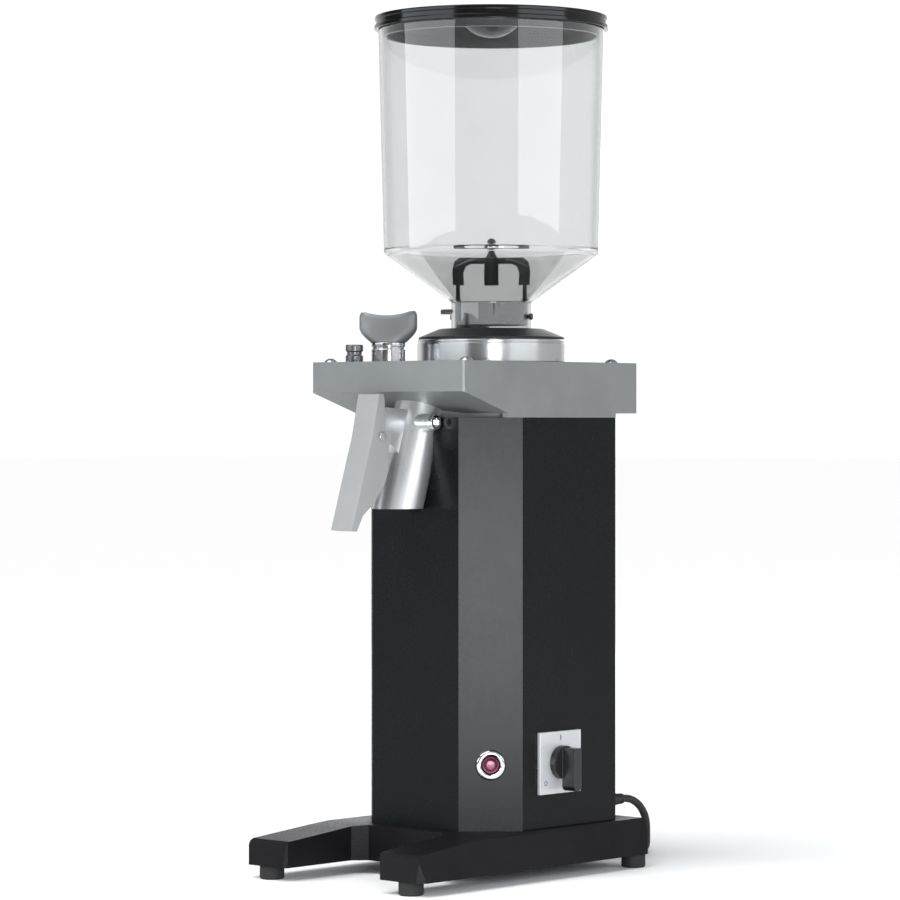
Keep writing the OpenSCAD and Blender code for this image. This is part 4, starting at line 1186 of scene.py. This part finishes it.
@dataclass
class Neck:
    """The gate in the hopper's neck and the guard above it."""

    ball_r: float = 3.8
    ball_z: float = 514.0

    def guard_knob(self) -> bpy.types.Object:
        """Waisted pin with a ball on it, above the guard's crossbar."""
        r, middle = self.ball_r, self.ball_z
        swing = np.linspace(-1.1, math.pi / 2 - 0.01, 14)
        ball = [(r * math.cos(a), middle + r * math.sin(a), 0) for a in swing]
        outline = [(TIP, 502.5), (5, 502.5, 0.3), (2.6, 507, 1.5), *ball, (TIP, middle + r)]
        return lathe("guard_knob_moulded", rounded(outline, 0.6), steps=48)

    def housing(self) -> bpy.types.Object:
        """The gate's housing: a ring whose mouth funnels in and out again."""
        outline = [(30.0, 446, 0.3), (30.0, 466, 0.3), (26, 466, 0.5), (19.5, 462, 0.8), (19.5, 453, 0.8),
                   (25, 446, 0.5)]
        return lathe("gate_housing_cast", rounded(outline, 0.4), steps=96)

    def build(self) -> None:
        """Makes the pieces in the neck."""
        keep(cut(self.housing(), gate_slot(21.5)), ["gate_housing"], GATE_METAL)
        keep(refined("gate_slide", 0.5), ["gate_slide"], GUARD_PLASTIC)
        keep(refined("finger_guard", 0.7), ["finger_guard"], GUARD_PLASTIC)
        keep(self.guard_knob(), ["guard_knob"], GUARD_PLASTIC)
        keep(refined("neck_screws", 0.2, angle=40), ["neck_screws"], DARK_SCREW)


# ---- Spout and bag clamp ----


@dataclass
class Spout:
    """The spout, its clamp screw, and the sprung bag clamp on its pin."""

    pivot: tuple = (-142.0, 355.0)
    wire: float = 0.55
    spring_r: float = 3.6
    spring_side: float = 8.0
    spring_length: float = 1.25

    def pin(self) -> bpy.types.Object:
        """Hinge pin with a flat head at each end."""
        outline = [(TIP, -13.4), (3.6, -13.4, 0.5), (3.6, -11.8, 0.3), (2.5, -11.8, 0), (2.5, 11.8, 0),
                   (3.6, 11.8, 0.3), (3.6, 13.4, 0.5), (TIP, 13.4)]
        return lathe("clamp_pin_turned", rounded(outline, 0.3), (0, *self.pivot), Turn.RIGHT, 32)

    def spring(self, side: int) -> bpy.types.Object:
        """Torsion spring round the pin: a helix of two turns.

        Args:
            side: -1 for the left one, and 1 for the right one.

        Returns:
            The spring.
        """
        turns = 4 * math.pi
        a = np.linspace(0, turns, 120)
        helix = np.stack([side * self.spring_side + (a / turns - 0.5) * self.spring_length,
                          self.spring_r * np.cos(a), self.spring_r * np.sin(a)], axis=-1)
        points = (helix + np.array([0, *self.pivot]) + AXIS) * MM
        name = "clamp_spring_left" if side < 0 else "clamp_spring_right"
        return surface(name, carried(points, self.wire * MM, 10), (False, True), caps=True)

    def build(self) -> None:
        """Makes the pieces of the spout."""
        keep(refined("spout", 0.5, angle=30), ["spout"], SPOUT_STEEL)
        keep(refined("spout_screw", 0.4), ["spout_screw"], CHROME)
        keep(refined("bag_clamp", 0.6, angle=30), ["bag_clamp"], CLAMP_STEEL)
        keep(self.pin(), ["clamp_pin"], GROUND)
        keep(self.spring(-1), ["clamp_spring"], GROUND)
        keep(self.spring(1), [], GROUND, "frame")


# ---- Controls ----


# Directions of the chamfer between the column's front and its right side
CHAMFER_OUT = np.array([math.sqrt(0.5), -math.sqrt(0.5), 0])
CHAMFER_RIGHT = np.array([math.sqrt(0.5), math.sqrt(0.5), 0])
UP = np.array([0, 0, 1.0])


@dataclass
class Controls:
    """The start button on the chamfer, and the rotary switch on the right side.

    The column's front face is as far forward as its front, and flat up to the chamfer, which ends at
    the column's half width.
    """

    front: float = 91.8
    flat: float = 48.0
    half_w: float = 84.2
    plate_face: float = 87.2
    on_mark: tuple = (-13.0, 112.5)
    off_mark: tuple = (-31.0, 76.5)
    lens_r: float = 3.8

    def middle(self) -> Points:
        """Where the button's axis meets the chamfer, from the hopper's axis."""
        low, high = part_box("start_button")
        return np.array([(self.flat + self.half_w) / 2, (self.half_w - self.flat) / 2 - self.front,
                         (low.z + high.z) / 2 / MM])

    def chamfer(self, points: Points) -> Points:
        """Points whose own +Z leaves the chamfer: X goes right and Y goes up.

        Args:
            points: Array whose last axis is x, y and z, in millimetres.

        Returns:
            Array of the same shape, in metres.
        """
        x, y, z = (points[..., i, None] for i in range(3))
        return (self.middle() + AXIS + x * CHAMFER_RIGHT + y * UP + z * CHAMFER_OUT) * MM

    def on_lens(self, spots: Points) -> np.ndarray:
        """Tells which points lie on the lens: inside its edge, on the button's face.

        Args:
            spots: Rows of x, y and z, from the hopper's axis.

        Returns:
            A row of true and false.
        """
        off = spots - self.middle()
        along = off @ CHAMFER_OUT
        return (np.linalg.norm(off - along[:, None] * CHAMFER_OUT, axis=1) < self.lens_r) & (along > 0)

    def bar_mark(self) -> bpy.types.Object:
        """Printed bar: rings of a rounded oblong that rise off the plate and shrink to nothing.

        Round a ring, the half width and half height are a cosine and a sine, each to the power 1/2.

        Returns:
            The bar, 0.12 mm thick.
        """
        around = np.linspace(0, 2 * math.pi, 40, endpoint=False)
        across = 0.6 * powered(np.cos(around), 0.5)
        high = 2.2 * powered(np.sin(around), 0.5)
        share = np.array([0, 1, 1, 0.9, 0])[:, None]
        rise = np.array([0, 0, 0.08, 0.12, 0.12])[:, None]
        points = np.stack([rise + 0 * around, share * across, share * high], axis=-1)
        return surface("switch_on_mark", place(points, (self.plate_face, *self.on_mark)), (False, True))

    def ring_mark(self) -> bpy.types.Object:
        """Printed ring on the plate."""
        inner, outer, thick = 1.3, 1.95, 0.12
        outline = rounded([(inner, 0), (outer, 0), (outer, thick), (inner, thick)], 0.03)
        return lathe("switch_off_mark", outline, (self.plate_face, *self.off_mark), Turn.RIGHT, steps=48)

    def turned_piece(self, name: str, outline: Sequence[Corner]) -> bpy.types.Object:
        """Lathed piece that points out of the chamfer."""
        return surface(name, self.chamfer(spun(rounded(outline, 0.3), 96)), (True, True))

    def build(self) -> None:
        """Makes the button and the switch."""
        bezel = [(7.8, -22), (9.5, -22), (9.5, 0, 0), (12.2, 0, 0.1), (12.2, 1, 0.6), (11.0, 3.0, 1.2),
                 (9, 3.4, 1.0), (7.8, 2.4, 0.4)]
        keep(self.turned_piece("button_bezel_turned", bezel), ["button_bezel"], CHROME)
        button = [(TIP, 1.5, 0), (3.3, 1.4, 0.4), (3.7, 0.9, 0.2), (5.2, 1.9, 0.8), (6.4, 2.0, 0.4),
                  (7.45, 1, 0.4), (7.45, -16, 0.3), (5.6, -16, 0.3), (5.6, -3, 0.3), (TIP, -3, 0)]
        pressed = keep(self.turned_piece("start_button_moulded", button), ["start_button"], BUTTON_RED)
        patch(pressed, BUTTON_LENS, self.on_lens)
        keep(refined("switch_plate", 0.7), ["switch_plate"], PLATE)
        keep(self.bar_mark(), [], PLATE_INK, body="frame")
        keep(self.ring_mark(), [], PLATE_INK, body="frame")
        keep(refined("switch_knob", 0.8, angle=30), ["switch_knob"], SWITCH_PLASTIC)


# ---- Inside ----


def dress_the_rest() -> None:
    """Gives every CAD node that no piece stands for the finish of its slot."""
    for name, node in frame["nodes"].items():
        finish = SLOT_FINISHES[slot_of(name)]
        node.data.materials.clear()
        node.data.materials.append(finish.material())


def main() -> None:
    """Builds the machine's sub-assemblies in order and reports each piece."""
    logging.basicConfig(level=logging.INFO, format="%(message)s")
    studio = Studio()
    studio.camera()
    Cord().build()
    for part in (Base(), Column(), Head(), Hopper(), Neck(), Spout(), Controls()):
        part.build()
    dress_the_rest()
    studio.build()


if __name__ == "__main__":
    main()
